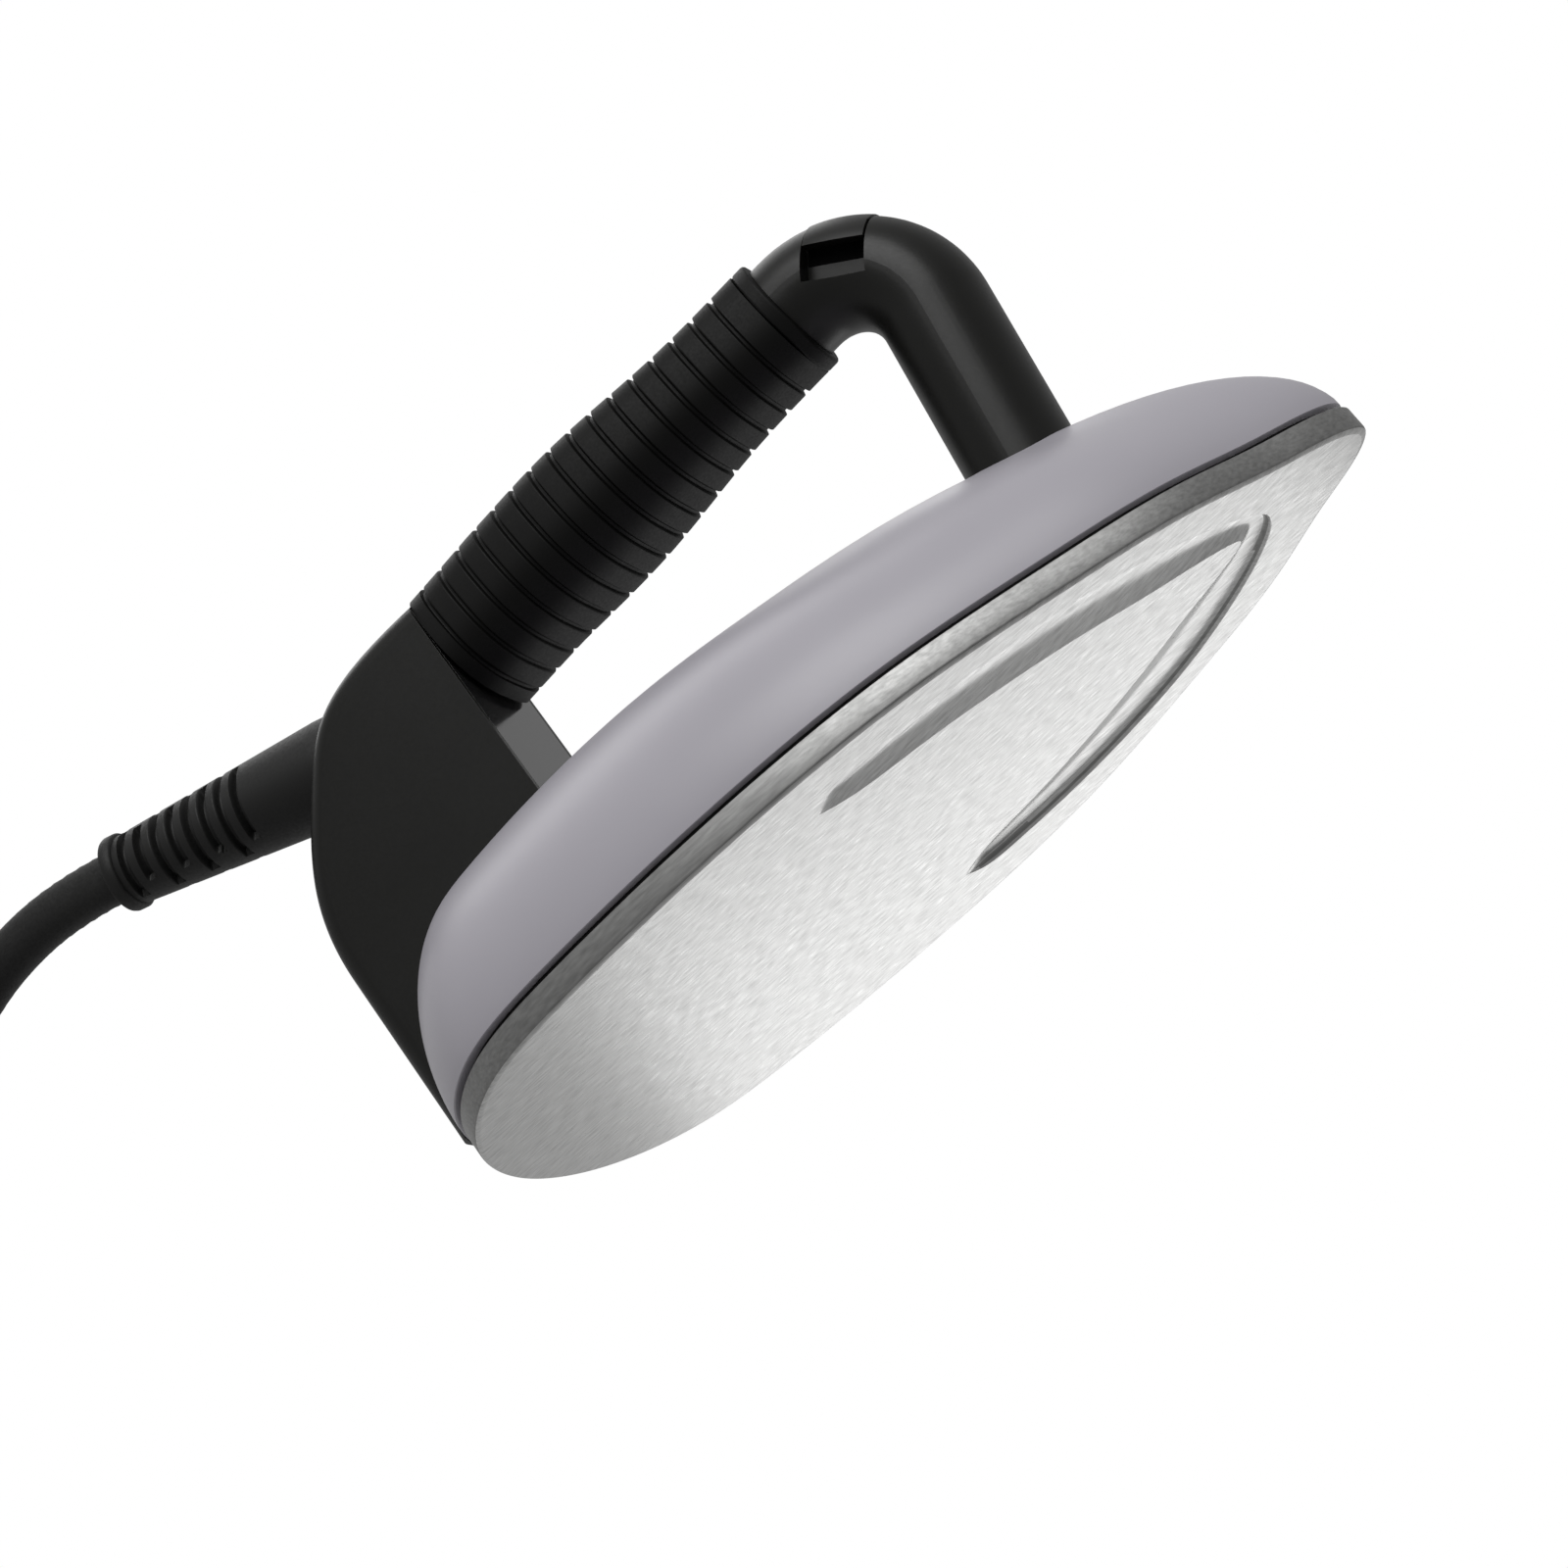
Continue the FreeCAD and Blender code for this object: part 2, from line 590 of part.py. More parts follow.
# The handle's two halves part along its centre line: everything outside that line is one region.
far_path = handle_path(size("seat_station") - 20, size("deck_level") - 20)
start_point = far_path.Edges[0].valueAt(far_path.Edges[0].FirstParameter)
end_point = corner + post_way * ((size("deck_level") - 20 - corner.z) / post_way.z)
outside = [start_point + Vector(0, 0, 60), Vector(end_point.x + 80, 0, corner.z + 60),
           Vector(end_point.x + 80, 0, end_point.z)]
fence = [start_point] + outside + [end_point]
closing = [Part.LineSegment(first, last).toShape() for first, last in zip(fence, fence[1:])]
region = Part.Face(Part.Wire(far_path.Edges + list(reversed(closing))))
region.translate(Vector(0, -50, 0))
region = region.extrude(Vector(0, 100, 0))

half_length = size("trigger_length") / 2 + size("trigger_gap")
bridge_half = size("bridge_width") / 2
clear = 30.0                   # well outside the handle
window_low = -size("window_floor")
window = in_trigger(box((-half_length, -clear, window_low), (half_length, -bridge_half, clear)).multiFuse(
    [box((-half_length, bridge_half, window_low), (half_length, clear, clear)),
     box((-half_length, -clear, size("bridge_top")), (half_length, clear, clear))]))
bridge = in_trigger(box((-half_length - size("bridge_seat"), -bridge_half, 0.0),
                        (half_length + size("bridge_seat"), bridge_half, size("bridge_top"))))
room_length, room_width = (size(name) / 2 + size("switch_gap") for name in ("switch_length", "switch_width"))
switch_room = in_trigger(box((-room_length, -room_width, -size("duct_radius")),
                             (room_length, room_width, size("bridge_top") - size("bridge_roof"))))
stem_hole = in_trigger(Part.makeCylinder(size("stem_radius") + size("stem_gap"), clear))
bridge = bridge.common(round_bar(handle_path(collar_front, size("deck_level")), size("core_radius")))
outer_half = handle_form.common(region).cut(window).fuse(bridge).cut(switch_room).cut(stem_hole)
inner_half = handle_form.cut(region).cut(window)
feature("handle_outer_shell", outer_half.removeSplitter())
feature("handle_inner_shell", inner_half.removeSplitter())

foot_insert = rod(corner + post_way * ((deck_top + 14 - corner.z) / post_way.z), post_way, 30,
                  size("duct_radius") - 0.1).cut(below_deck)
for x, y in foot_screws:
    foot_insert = foot_insert.cut(Part.makeCylinder(size("screw_shank"), size("foot_screw_reach"),
                                                    Vector(x, y, size("deck_level"))))
feature("handle_foot_insert", foot_insert)
feature("foot_screws", Part.makeCompound(
    [screw(x, y, size("deck_level"), size("foot_screw_reach"), upward=True) for x, y in foot_screws]))

# ---------------------------------------------------------------- grip sleeve and collar

# (share of the grip's length, width and height row, scale on that row)
GRIP_STATIONS = ((0.0, "rear", 1.0), (0.2, "mid", 0.985), (0.47, "mid", 1.0), (0.75, "mid", 0.87),
                 (1.0, "front", 1.0))
RIB_COUNT = 17

grip_first = size("heel_depth") - 1.0
grip_span = size("grip_end") - grip_first


def grip_size(share, measure):
    """Half width or half height of the grip at a share of its length, between the stations."""
    for (first, kind, scale), (last, next_kind, next_scale) in zip(GRIP_STATIONS, GRIP_STATIONS[1:]):
        if share <= last:
            blend = (share - first) / (last - first)
            return (size(f"grip_{kind}_{measure}") * scale * (1 - blend)
                    + size(f"grip_{next_kind}_{measure}") * next_scale * blend)
    return size(f"grip_front_{measure}")


def grip_section(share, inset):
    """A squarish oval across the grip's axis at a share of its length, moved in by an inset."""
    up = Vector(-grip_way.z, 0, grip_way.x)
    drop = size("grip_rear_drop") * max(0.0, 1 - share / GRIP_STATIONS[1][0])
    middle = grip_point(grip_first + share * grip_span) - up * drop
    half_width, half_height = grip_size(share, "width") - inset, grip_size(share, "height") - inset
    power = 2 / size("grip_squareness")
    points = []
    for i in range(24):
        angle = math.radians(15 * i)
        across, rise = math.cos(angle), math.sin(angle)
        points.append(middle + Vector(0, math.copysign(abs(across) ** power, across) * half_width, 0)
                      + up * (math.copysign(abs(rise) ** power, rise) * half_height))
    curve = Part.BSplineCurve()
    curve.interpolate(Points=points, PeriodicFlag=True)
    return Part.Wire([curve.toShape()])


def groove_tool(index):
    """A thin ring that cuts one groove round the grip, rib_depth deep."""
    share = index / RIB_COUNT - size("rib_gap") / grip_span
    rim = Part.Wire(Part.makeCircle(30, grip_point(grip_first + share * grip_span), grip_way))
    return Part.Face([rim, grip_section(share, size("rib_depth"))]).extrude(grip_way * size("rib_gap"))


grip = Part.makeLoft([grip_section(station[0], 0) for station in GRIP_STATIONS], True, False)
grip = grip.cut(rod(grip_point(grip_first - 5), grip_way, grip_span + 20,
                    size("core_radius") + size("sleeve_gap")))
for i in range(1, RIB_COUNT):
    grip = grip.cut(groove_tool(i))
grip = grip.cut(box((x_at(0), -clear, size("deck_level")),
                    (x_at(size("heel_depth") + size("grip_rear_gap")), clear, 2 * size("heel_top"))))
feature("grip_sleeve", grip)

collar_place = Placement(grip_point(size("grip_end") + size("running_gap")),
                         Rotation(Vector(0, 0, 1), grip_way))
keep(padded_disc("grip_collar", "sizes.collar_radius", "sizes.core_radius + sizes.sleeve_gap",
                 "sizes.collar_length - 2 * sizes.running_gap", collar_place), "grip_collar")

# ---------------------------------------------------------------- trigger

half_trigger = size("trigger_length") / 2
saddle = round_bar(handle_path(collar_front, size("deck_level")),
                   size("handle_radius") + size("trigger_proud"))
saddle = saddle.common(in_trigger(box((-half_trigger, -20, size("trigger_skirt")), (half_trigger, 20, 20))))
hollow = in_trigger(box((-half_trigger - 1, -size("trigger_inner"), 0),
                        (half_trigger + 1, size("trigger_inner"), size("trigger_roof"))))
stem_low = size("plunger_length") + size("touch_gap")
stem = in_trigger(rod(Vector(0, 0, stem_low), Vector(0, 0, 1), size("trigger_roof") + 0.5 - stem_low,
                      size("stem_radius")))
feature("trigger_button", saddle.cut(hollow).fuse(stem).removeSplitter())


def helix(radius, wire, low, high, turns):
    """A spring of round wire, drawn as six-sided sections round a helix about Z."""
    sections = []
    steps = int(turns * 16)
    for i in range(steps + 1):
        turn = 2 * math.pi * turns * i / steps
        outward = Vector(math.cos(turn), math.sin(turn), 0)
        middle = outward * radius + Vector(0, 0, low + (high - low) * i / steps)
        corners = [middle + outward * (math.cos(side) * wire / 2) + Vector(0, 0, math.sin(side) * wire / 2)
                   for side in (math.pi / 3 * k for k in range(6))]
        sections.append(Part.makePolygon(corners + corners[:1]))
    return Part.makeLoft(sections, True, True)


spring_clear = size("spring_wire") / 2 + 0.05
spring = helix(size("spring_radius"), size("spring_wire"), size("bridge_top") + spring_clear,
               size("trigger_roof") - spring_clear, size("spring_turns"))
feature("trigger_spring", in_trigger(spring))

switch = box((-size("switch_length") / 2, -size("switch_width") / 2, -size("switch_bottom")),
             (size("switch_length") / 2, size("switch_width") / 2, size("switch_top")))
switch = switch.cut(rod(Vector(0, 0, -size("trigger_travel") - 0.3), Vector(0, 0, 1), 20,
                        size("plunger_radius") + size("running_gap")))
feature("switch_body", in_trigger(switch))
keep(padded_disc("switch_plunger", "sizes.plunger_radius", None, "sizes.plunger_length", trigger_frame),
     "switch_plunger")
lead_start, lead_end = grip_point(size("seat_station")), grip_point(size("corner_station") - 22)
drop = Vector(0, 0, -4.0)
feature("switch_leads", Part.makeCompound(
    [rod(lead_start + drop + Vector(0, side * 1.6, 0), grip_way, (lead_end - lead_start).Length,
         size("lead_radius")) for side in (-1, 1)]))

# ---------------------------------------------------------------- heel

boot_way = direction(180 - size("boot_rise"))
boot_tip = Vector(x_at(size("boot_tip_station")), 0, size("boot_tip_level"))
boot_root = boot_tip - boot_way * size("boot_reach")
wall = size("heel_wall")
panel_back = x_at(size("heel_depth") - size("panel_thickness"))
heel_dome = dome(size("heel_gap"))
heel = heel_block(0, band_top + 0.3).cut(heel_block(wall, band_top))
heel = heel.cut(heel_dome)
front_half = size("heel_width") / 2 - size("panel_border")
panel_top = size("heel_top") - size("heel_crown_drop") - size("panel_border")
front_pocket = box((panel_back, -front_half, band_top), (x_at(size("heel_depth")) + 1, front_half,
                                                         panel_top))
boot_bore = rod(boot_tip, boot_way * -1, size("boot_reach"), size("boot_root_radius") + size("boot_gap"))
spigot_bore = rod(grip_point(size("seat_station") - 7), grip_way, 30, size("spigot_radius") + 0.05)
feature("heel_housing", heel.cut(front_pocket).cut(boot_bore).cut(spigot_bore).removeSplitter())
panel_gap = size("panel_gap")
panel = box((panel_back, -front_half + panel_gap, band_top),
            (x_at(size("heel_depth")), front_half - panel_gap, panel_top - panel_gap))
feature("heel_front_panel", panel.cut(heel_dome).cut(spigot_bore))

anchor_low = grip_point(size("seat_station")).z - size("anchor_drop")
anchor = box((x_at(size("seat_station") + 0.6), -size("anchor_width") / 2, anchor_low),
             (panel_back - 0.1, size("anchor_width") / 2, size("heel_top")))
anchor = anchor.common(heel_block(wall + panel_gap, band_top))
feature("handle_anchor", anchor.cut(spigot_bore))
block_floor = size("block_floor")
keep(padded_block("terminal_block", "sizes.block_length",
                  "sizes.heel_width - 2 * sizes.heel_wall - 2 * sizes.block_gap", "sizes.block_height",
                  Placement(Vector(x_at(size("block_station")), 0, block_floor), Rotation()),
                  "sizes.block_round"), "terminal_block")
feature("terminal_screws", Part.makeCompound(
    [screw(x_at(size("block_screw_station")), row * size("block_screw_pitch"),
           block_floor + size("block_height"), 0.0) for row in (-1, 0, 1)]))
clamp_top = size("clamp_floor") + size("clamp_thickness")
feature("cord_clamp", box((x_at(size("clamp_rear")), -size("clamp_half"), size("clamp_floor")),
                          (x_at(size("clamp_front")), size("clamp_half"), clamp_top)))
clamp_middle = x_at((size("clamp_rear") + size("clamp_front")) / 2)
feature("clamp_screws", Part.makeCompound(
    [screw(clamp_middle, side * size("clamp_screw_pitch"), clamp_top + size("running_gap"), 0.0)
     for side in (-1, 1)]))

# ---------------------------------------------------------------- hose and leads inside

inlet_half = size("inlet_half")
inlet = box((inlet_x - inlet_half, -inlet_half, lid_top),
            (inlet_x + inlet_half, inlet_half, lid_top + size("inlet_height")))
feature("steam_inlet", inlet.cut(Part.makeCylinder(size("inlet_bore"), inlet_half,
                                                   Vector(inlet_x, 0, lid_top - 1))))
hose_level = lid_top + size("hose_height")
hose_start = boot_root - boot_way * 0.1
knee = hose_start - boot_way * ((duct_x - hose_start.x) / -boot_way.x)
feature("steam_hose", round_bar(rounded_path(
    [hose_start, knee, Vector(duct_x, 0, hose_level), Vector(inlet_x - inlet_half, 0, hose_level)],
    [7.0, 8.0]), size("hose_radius")))
lead_span = size("element_half_span")
element_end = size("casting_top") + size("element_proud") + size("running_gap")
lead_paths = [rounded_path([Vector(x_at(size("element_rear")), side * lead_span, element_end),
                            Vector(x_at(size("element_rear")), side * lead_span, deck_top + 8),
                            Vector(lead_x, side * lead_span / 2, deck_top + 8),
                            Vector(lead_x, side * lead_span / 2, block_floor)], [3.0, 3.0])
              for side in (-1, 1)]
feature("heater_leads", Part.makeCompound([round_bar(path, size("lead_radius")) for path in lead_paths]))
thermostat_x = x_at(size("thermostat_station"))
ear, ear_half = size("thermostat_ear"), size("thermostat_ear_half")
feature("thermostat", Part.makeCylinder(size("thermostat_radius"), size("thermostat_height"),
                                        Vector(thermostat_x, 0, casting_top))
        .fuse(box((thermostat_x - ear_half, -ear, casting_top),
                  (thermostat_x + ear_half, ear, casting_top + size("thermostat_ear_height")))))
feature("thermal_fuse", box((x_at(size("fuse_rear")), size("fuse_near"), casting_top),
                            (x_at(size("fuse_front")), size("fuse_far"), casting_top + size("fuse_height"))))

# ---------------------------------------------------------------- cord outlet

cord_radius = size("cord_diameter") / 2
boot = turned("boot_form", [
    ("sizes.cord_diameter / 2 + 0.1", "0"), ("sizes.boot_root_radius", "0"),
    ("sizes.boot_root_radius", "sizes.boot_neck"),
    ("sizes.boot_tip_radius", "sizes.boot_reach - sizes.boot_ring_length"),
    ("sizes.boot_ring_radius", "sizes.boot_reach - sizes.boot_ring_length"),
    ("sizes.boot_ring_radius", "sizes.boot_reach - 0.5"),
    ("sizes.cord_diameter / 2 + 0.1", "sizes.boot_reach - 0.5")],
    Placement(boot_root, Rotation(Vector(0, 0, 1), boot_way)))
doc.recompute()
slots = []
upright = Rotation(Vector(0, 0, 1), boot_way)
for i in range(8):
    middle = boot_tip - boot_way * (size("boot_ring_length") + 2.4 + i * size("boot_slot_pitch") / 2)
    keep_half = 2.0 if i % 2 == 0 else 5.5     # half the rib left standing between the two sides' slots
    for side in (-1, 1):
        slab = Part.makeBox(clear, clear, size("boot_slot"),
                            Vector(keep_half, -clear / 2, -size("boot_slot") / 2))
        turn = Placement(Vector(), Rotation(Vector(0, 0, 1), 90 - 90 * side))
        slab.Placement = Placement(middle, upright).multiply(turn)
        slots.append(slab)
core_left = Part.makeCylinder(size("cord_diameter") / 2 + 1.0, size("boot_reach") + 2,
                              boot_root - boot_way, boot_way)
slot_tool = doc.addObject("Part::Feature", "boot_slots")
slot_tool.Shape = Part.makeCompound([slot.cut(core_left) for slot in slots])
keep(cut("cord_boot", boot, slot_tool), "cord_boot")

# ---------------------------------------------------------------- cord, coil and connector

# The cord's free run, chosen by hand: millimetres, in the iron's frame, from the boot's end to the coil.
CORD_ROUTE = [(-141.9, 0.0, 108.3), (-148.6, 0.0, 110.4), (-164.4, 0.1, 112.8), (-182.3, 0.6, 110.9),
              (-200.8, 1.6, 103.2), (-219.8, 4.5, 88.2), (-239.5, 13.0, 67.6), (-264.5, 26.5, 45.0),
              (-294.5, 39.0, 27.6), (-326.0, 45.6, 18.4)]


def cord_arcs(points):
    """The radius of each bend: as large as its two runs allow."""
    radii = []
    for before, here, after in zip(points, points[1:], points[2:]):
        shorter = min((here - before).Length, (after - here).Length)
        turn = (here - before).getAngle(after - here)
        radii.append(0.45 * shorter / math.tan(turn / 2))
        print("cord bend", round(math.degrees(turn), 1), "deg, radius", round(radii[-1], 1))
    return radii


route = [Vector(*point) for point in CORD_ROUTE]
cord_line = rounded_path(route, cord_arcs(route))
tube = round_bar(cord_line, cord_radius)
section = math.pi * cord_radius ** 2
print("cord volume over section times length", round(tube.Volume / (section * cord_line.Length), 4))
feature("cord_tube", tube)
coil_middle = Vector(size("coil_x"), size("coil_y"), 0)
coil = Part.makeCylinder(size("coil_outer"), size("coil_height"), coil_middle).cut(
    Part.makeCylinder(size("coil_inner"), size("coil_height") + 2, coil_middle - Vector(0, 0, 1)))
feature("cord_coil", coil)

ring_turn = math.radians(size("connector_angle"))
way_turn = ring_turn + math.radians(size("connector_lean"))
connector_way = Vector(-math.sin(way_turn), math.cos(way_turn), 0)
connector_back = coil_middle + Vector(math.cos(ring_turn), math.sin(ring_turn), 0) * size("connector_ring")
connector_back += Vector(0, 0, size("coil_height") + size("connector_height") / 2)


def on_connector(reach):
    """Place on the connector's axis, this far from where the cord enters it."""
    upright = Rotation(Vector(0, 0, 1).cross(connector_way), Vector(0, 0, 1), connector_way, "ZYX")
    return Placement(connector_back + connector_way * reach, upright)


keep(turned("connector_boot", [
    ("0", "0"), ("sizes.cord_diameter / 2 + 1.2", "0"),
    ("sizes.connector_height / 2 - 0.6", "sizes.connector_tail"),
    ("0", "sizes.connector_tail")], on_connector(0)), "connector_boot")
keep(padded_block("connector_body", "sizes.connector_width", "sizes.connector_height",
                  "sizes.connector_length", on_connector(size("connector_tail")),
                  "sizes.connector_round"), "connector_body")
mouth = size("connector_tail") + size("connector_length")
keep(padded_disc("connector_nozzle", "sizes.nozzle_radius", "sizes.nozzle_bore", "sizes.pin_length",
                 on_connector(mouth).multiply(Placement(Vector(-6.0, 0, 0), Rotation()))), "connector_nozzle")
pins = [bound_cylinder(f"connector_pin_{i}", "sizes.pin_radius", "sizes.pin_length",
                       on_connector(mouth).multiply(Placement(Vector(x, y, 0), Rotation())))
        for i, (x, y) in enumerate([(1.8, 4.2), (1.8, -4.2), (7.2, 4.2), (7.2, -4.2)])]
keep(compound("connector_pins", pins), "connector_pins")

# ---------------------------------------------------------------- check and write

doc.recompute()
for item in doc.Objects:
    if {"Invalid", "Error"} & set(item.State):
        raise RuntimeError(f"{item.Name} failed: {item.State}")
os.makedirs("parts", exist_ok=True)
for item in parts:
    shape = item.Shape
    if shape.isNull() or not shape.isValid() or not shape.Solids:
        raise RuntimeError(f"{item.Label} is not a valid solid")
    shape.exportStep(f"parts/{item.Label}.step")
    print(f"{item.Label}: {len(shape.Solids)} solid(s), {shape.Volume / 1000:.2f} cm3")
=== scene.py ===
"""Looks of a steam-station clothes iron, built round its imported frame. The iron rests on its sole.

Lengths in this script are millimetres until a mesh is made; MM turns them into metres.
"""
import json
import math

import bmesh
import bpy
import numpy as np
from mathutils import Matrix, Vector
from mathutils.geometry import tessellate_polygon

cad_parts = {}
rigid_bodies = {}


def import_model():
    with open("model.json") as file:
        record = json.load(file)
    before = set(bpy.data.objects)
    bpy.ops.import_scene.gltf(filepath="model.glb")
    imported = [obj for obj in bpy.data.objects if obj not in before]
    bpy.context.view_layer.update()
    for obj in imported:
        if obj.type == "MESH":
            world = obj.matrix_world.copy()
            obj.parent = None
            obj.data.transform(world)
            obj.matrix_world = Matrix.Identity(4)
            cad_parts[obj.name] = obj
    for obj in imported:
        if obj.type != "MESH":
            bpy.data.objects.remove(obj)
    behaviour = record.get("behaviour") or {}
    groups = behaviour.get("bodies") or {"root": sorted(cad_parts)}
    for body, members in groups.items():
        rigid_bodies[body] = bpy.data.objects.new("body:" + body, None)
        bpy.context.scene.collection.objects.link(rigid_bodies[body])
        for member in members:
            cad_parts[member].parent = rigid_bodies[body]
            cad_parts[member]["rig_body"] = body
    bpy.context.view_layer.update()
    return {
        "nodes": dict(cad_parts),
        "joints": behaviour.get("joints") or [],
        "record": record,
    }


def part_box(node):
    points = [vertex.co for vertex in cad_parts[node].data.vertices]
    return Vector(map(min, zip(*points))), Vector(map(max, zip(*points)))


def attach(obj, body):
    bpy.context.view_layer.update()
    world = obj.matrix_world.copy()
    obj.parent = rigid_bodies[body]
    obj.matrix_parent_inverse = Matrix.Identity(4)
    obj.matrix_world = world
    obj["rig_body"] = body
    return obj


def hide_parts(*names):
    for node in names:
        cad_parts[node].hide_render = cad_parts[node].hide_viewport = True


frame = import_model()
NODES = frame["nodes"]
SLOT_OF = {row["node"]: row["material_slot"] for row in frame["record"]["subparts"]}
MM = 0.001
SAME_PLACE = 1e-6              # metres: points nearer than this are merged
FLAT_WITHIN = math.radians(0.4)
SMOOTH_WITHIN = math.radians(50)
REAR = -107.5                  # X of the sole's rear end

# ---------------------------------------------------------------- camera, light and floor

CAMERA_PLACE = Vector((0.119881, -0.639758, -0.241101))
CAMERA_RIGHT = Vector((0.73023889, 0.39085138, -0.56034486))
CAMERA_UP = Vector((0.6544613, -0.16484831, 0.73790612))
CAMERA_BACK = Vector((0.19603972, -0.90557177, -0.37617575))


def add(tree, kind, inputs=(), **settings):
    """A node with its settings and inputs; an input given as a socket is linked."""
    node = tree.nodes.new(kind)
    for name, value in settings.items():
        setattr(node, name, value)
    for key, value in dict(inputs).items():
        if isinstance(value, bpy.types.NodeSocket):
            tree.links.new(value, node.inputs[key])
        else:
            node.inputs[key].default_value = value
    return node


def camera():
    """An 85 mm camera held low under the iron's near side."""
    data = bpy.data.cameras.new("portrait_lens")
    data.lens = 85.0
    data.sensor_width = 36.0
    data.clip_start = 0.01
    holder = bpy.data.objects.new("camera", data)
    turn = Matrix((CAMERA_RIGHT, CAMERA_UP, CAMERA_BACK)).transposed().to_4x4()
    holder.matrix_world = Matrix.Translation(CAMERA_PLACE) @ turn
    bpy.context.scene.collection.objects.link(holder)
    bpy.context.scene.camera = holder


DIM_SIDE, BRIGHT_SIDE = 0.2, 0.46      # strength of the backdrop's light, near side and behind the iron


def surround():
    """A white backdrop that lights softly: bright behind the iron, dimmer on the near side."""
    world = bpy.data.worlds.new("pale_surround")
    world.use_nodes = True
    tree = world.node_tree
    way = add(tree, "ShaderNodeTexCoord").outputs["Generated"]
    facing = add(tree, "ShaderNodeVectorMath", {0: way, 1: -CAMERA_BACK},
                 operation="DOT_PRODUCT").outputs["Value"]
    glow = add(tree, "ShaderNodeMapRange", {"Value": facing, "From Min": -1.0, "From Max": 1.0,
                                            "To Min": DIM_SIDE, "To Max": BRIGHT_SIDE}).outputs["Result"]
    ray = add(tree, "ShaderNodeLightPath").outputs["Is Camera Ray"]
    seen = add(tree, "ShaderNodeMath", {0: glow, 1: ray}, operation="MAXIMUM").outputs["Value"]
    tree.links.new(seen, tree.nodes["Background"].inputs["Strength"])
    tree.nodes["Background"].inputs["Color"].default_value = (1.0, 1.0, 1.0, 1.0)
    bpy.context.scene.world = world
    bpy.context.scene.view_settings.view_transform = "Standard"


def softbox(name, target, way, distance, width, height, power):
    """A square-edged soft light, turned towards its target."""
    data = bpy.data.lights.new(name, "AREA")
    data.shape = "RECTANGLE"
    data.size = width
    data.size_y = height
    data.energy = power
    lamp = bpy.data.objects.new(name, data)
    lamp.visible_camera = False
    way = Vector(way).normalized()
    lamp.matrix_world = (Matrix.Translation(Vector(target) + way * distance)
                         @ way.to_track_quat("Z", "Y").to_matrix().to_4x4())
    bpy.context.scene.collection.objects.link(lamp)


FLOOR_SIZE, FLOOR_GAP = 6.0, 0.0005    # metres: its side, and how far under the sole it lies


def floor():
    """A pale floor that is seen from above and lets light and the low camera through from below."""
    bpy.ops.mesh.primitive_grid_add(size=FLOOR_SIZE, location=(0.0, 0.0, -FLOOR_GAP))
    ground = bpy.context.object
    ground.name = "studio_floor"
    material = bpy.data.materials.new("pale_floor")
    material.use_nodes = True
    tree = material.node_tree
    tree.nodes.clear()
    path = add(tree, "ShaderNodeLightPath").outputs["Is Camera Ray"]
    below = add(tree, "ShaderNodeNewGeometry").outputs["Backfacing"]
    front = add(tree, "ShaderNodeMath", {0: 1.0, 1: below}, operation="SUBTRACT").outputs["Value"]
    shown = add(tree, "ShaderNodeMath", {0: front, 1: path}, operation="MULTIPLY").outputs["Value"]
    pale = add(tree, "ShaderNodeBsdfDiffuse", {"Color": (0.82, 0.82, 0.82, 1.0)}).outputs["BSDF"]
    clear = add(tree, "ShaderNodeBsdfTransparent").outputs["BSDF"]
    mix = add(tree, "ShaderNodeMixShader", {"Fac": shown, 1: clear, 2: pale}).outputs["Shader"]
    add(tree, "ShaderNodeOutputMaterial", {"Surface": mix})
    ground.data.materials.append(material)


MIDDLE = (0.0, 0.0, 0.05)
SOLE_FAR_SIDE = (0.0, 0.05, 0.0)
UPPER_LEFT = -0.45 * CAMERA_RIGHT + 0.75 * CAMERA_UP + 0.45 * CAMERA_BACK

camera()
surround()
softbox("key_softbox", MIDDLE, UPPER_LEFT, distance=1.3, width=0.9, height=0.9, power=9.0)
softbox("sole_card", SOLE_FAR_SIDE, (-0.12, 0.9, -0.36), distance=0.3, width=0.26, height=0.1, power=0.11)
softbox("top_fill", MIDDLE, (-0.2, 0.5, 1.0), distance=1.6, width=1.2, height=1.2, power=6.0)
floor()

# ---------------------------------------------------------------- smooth lines and meshes


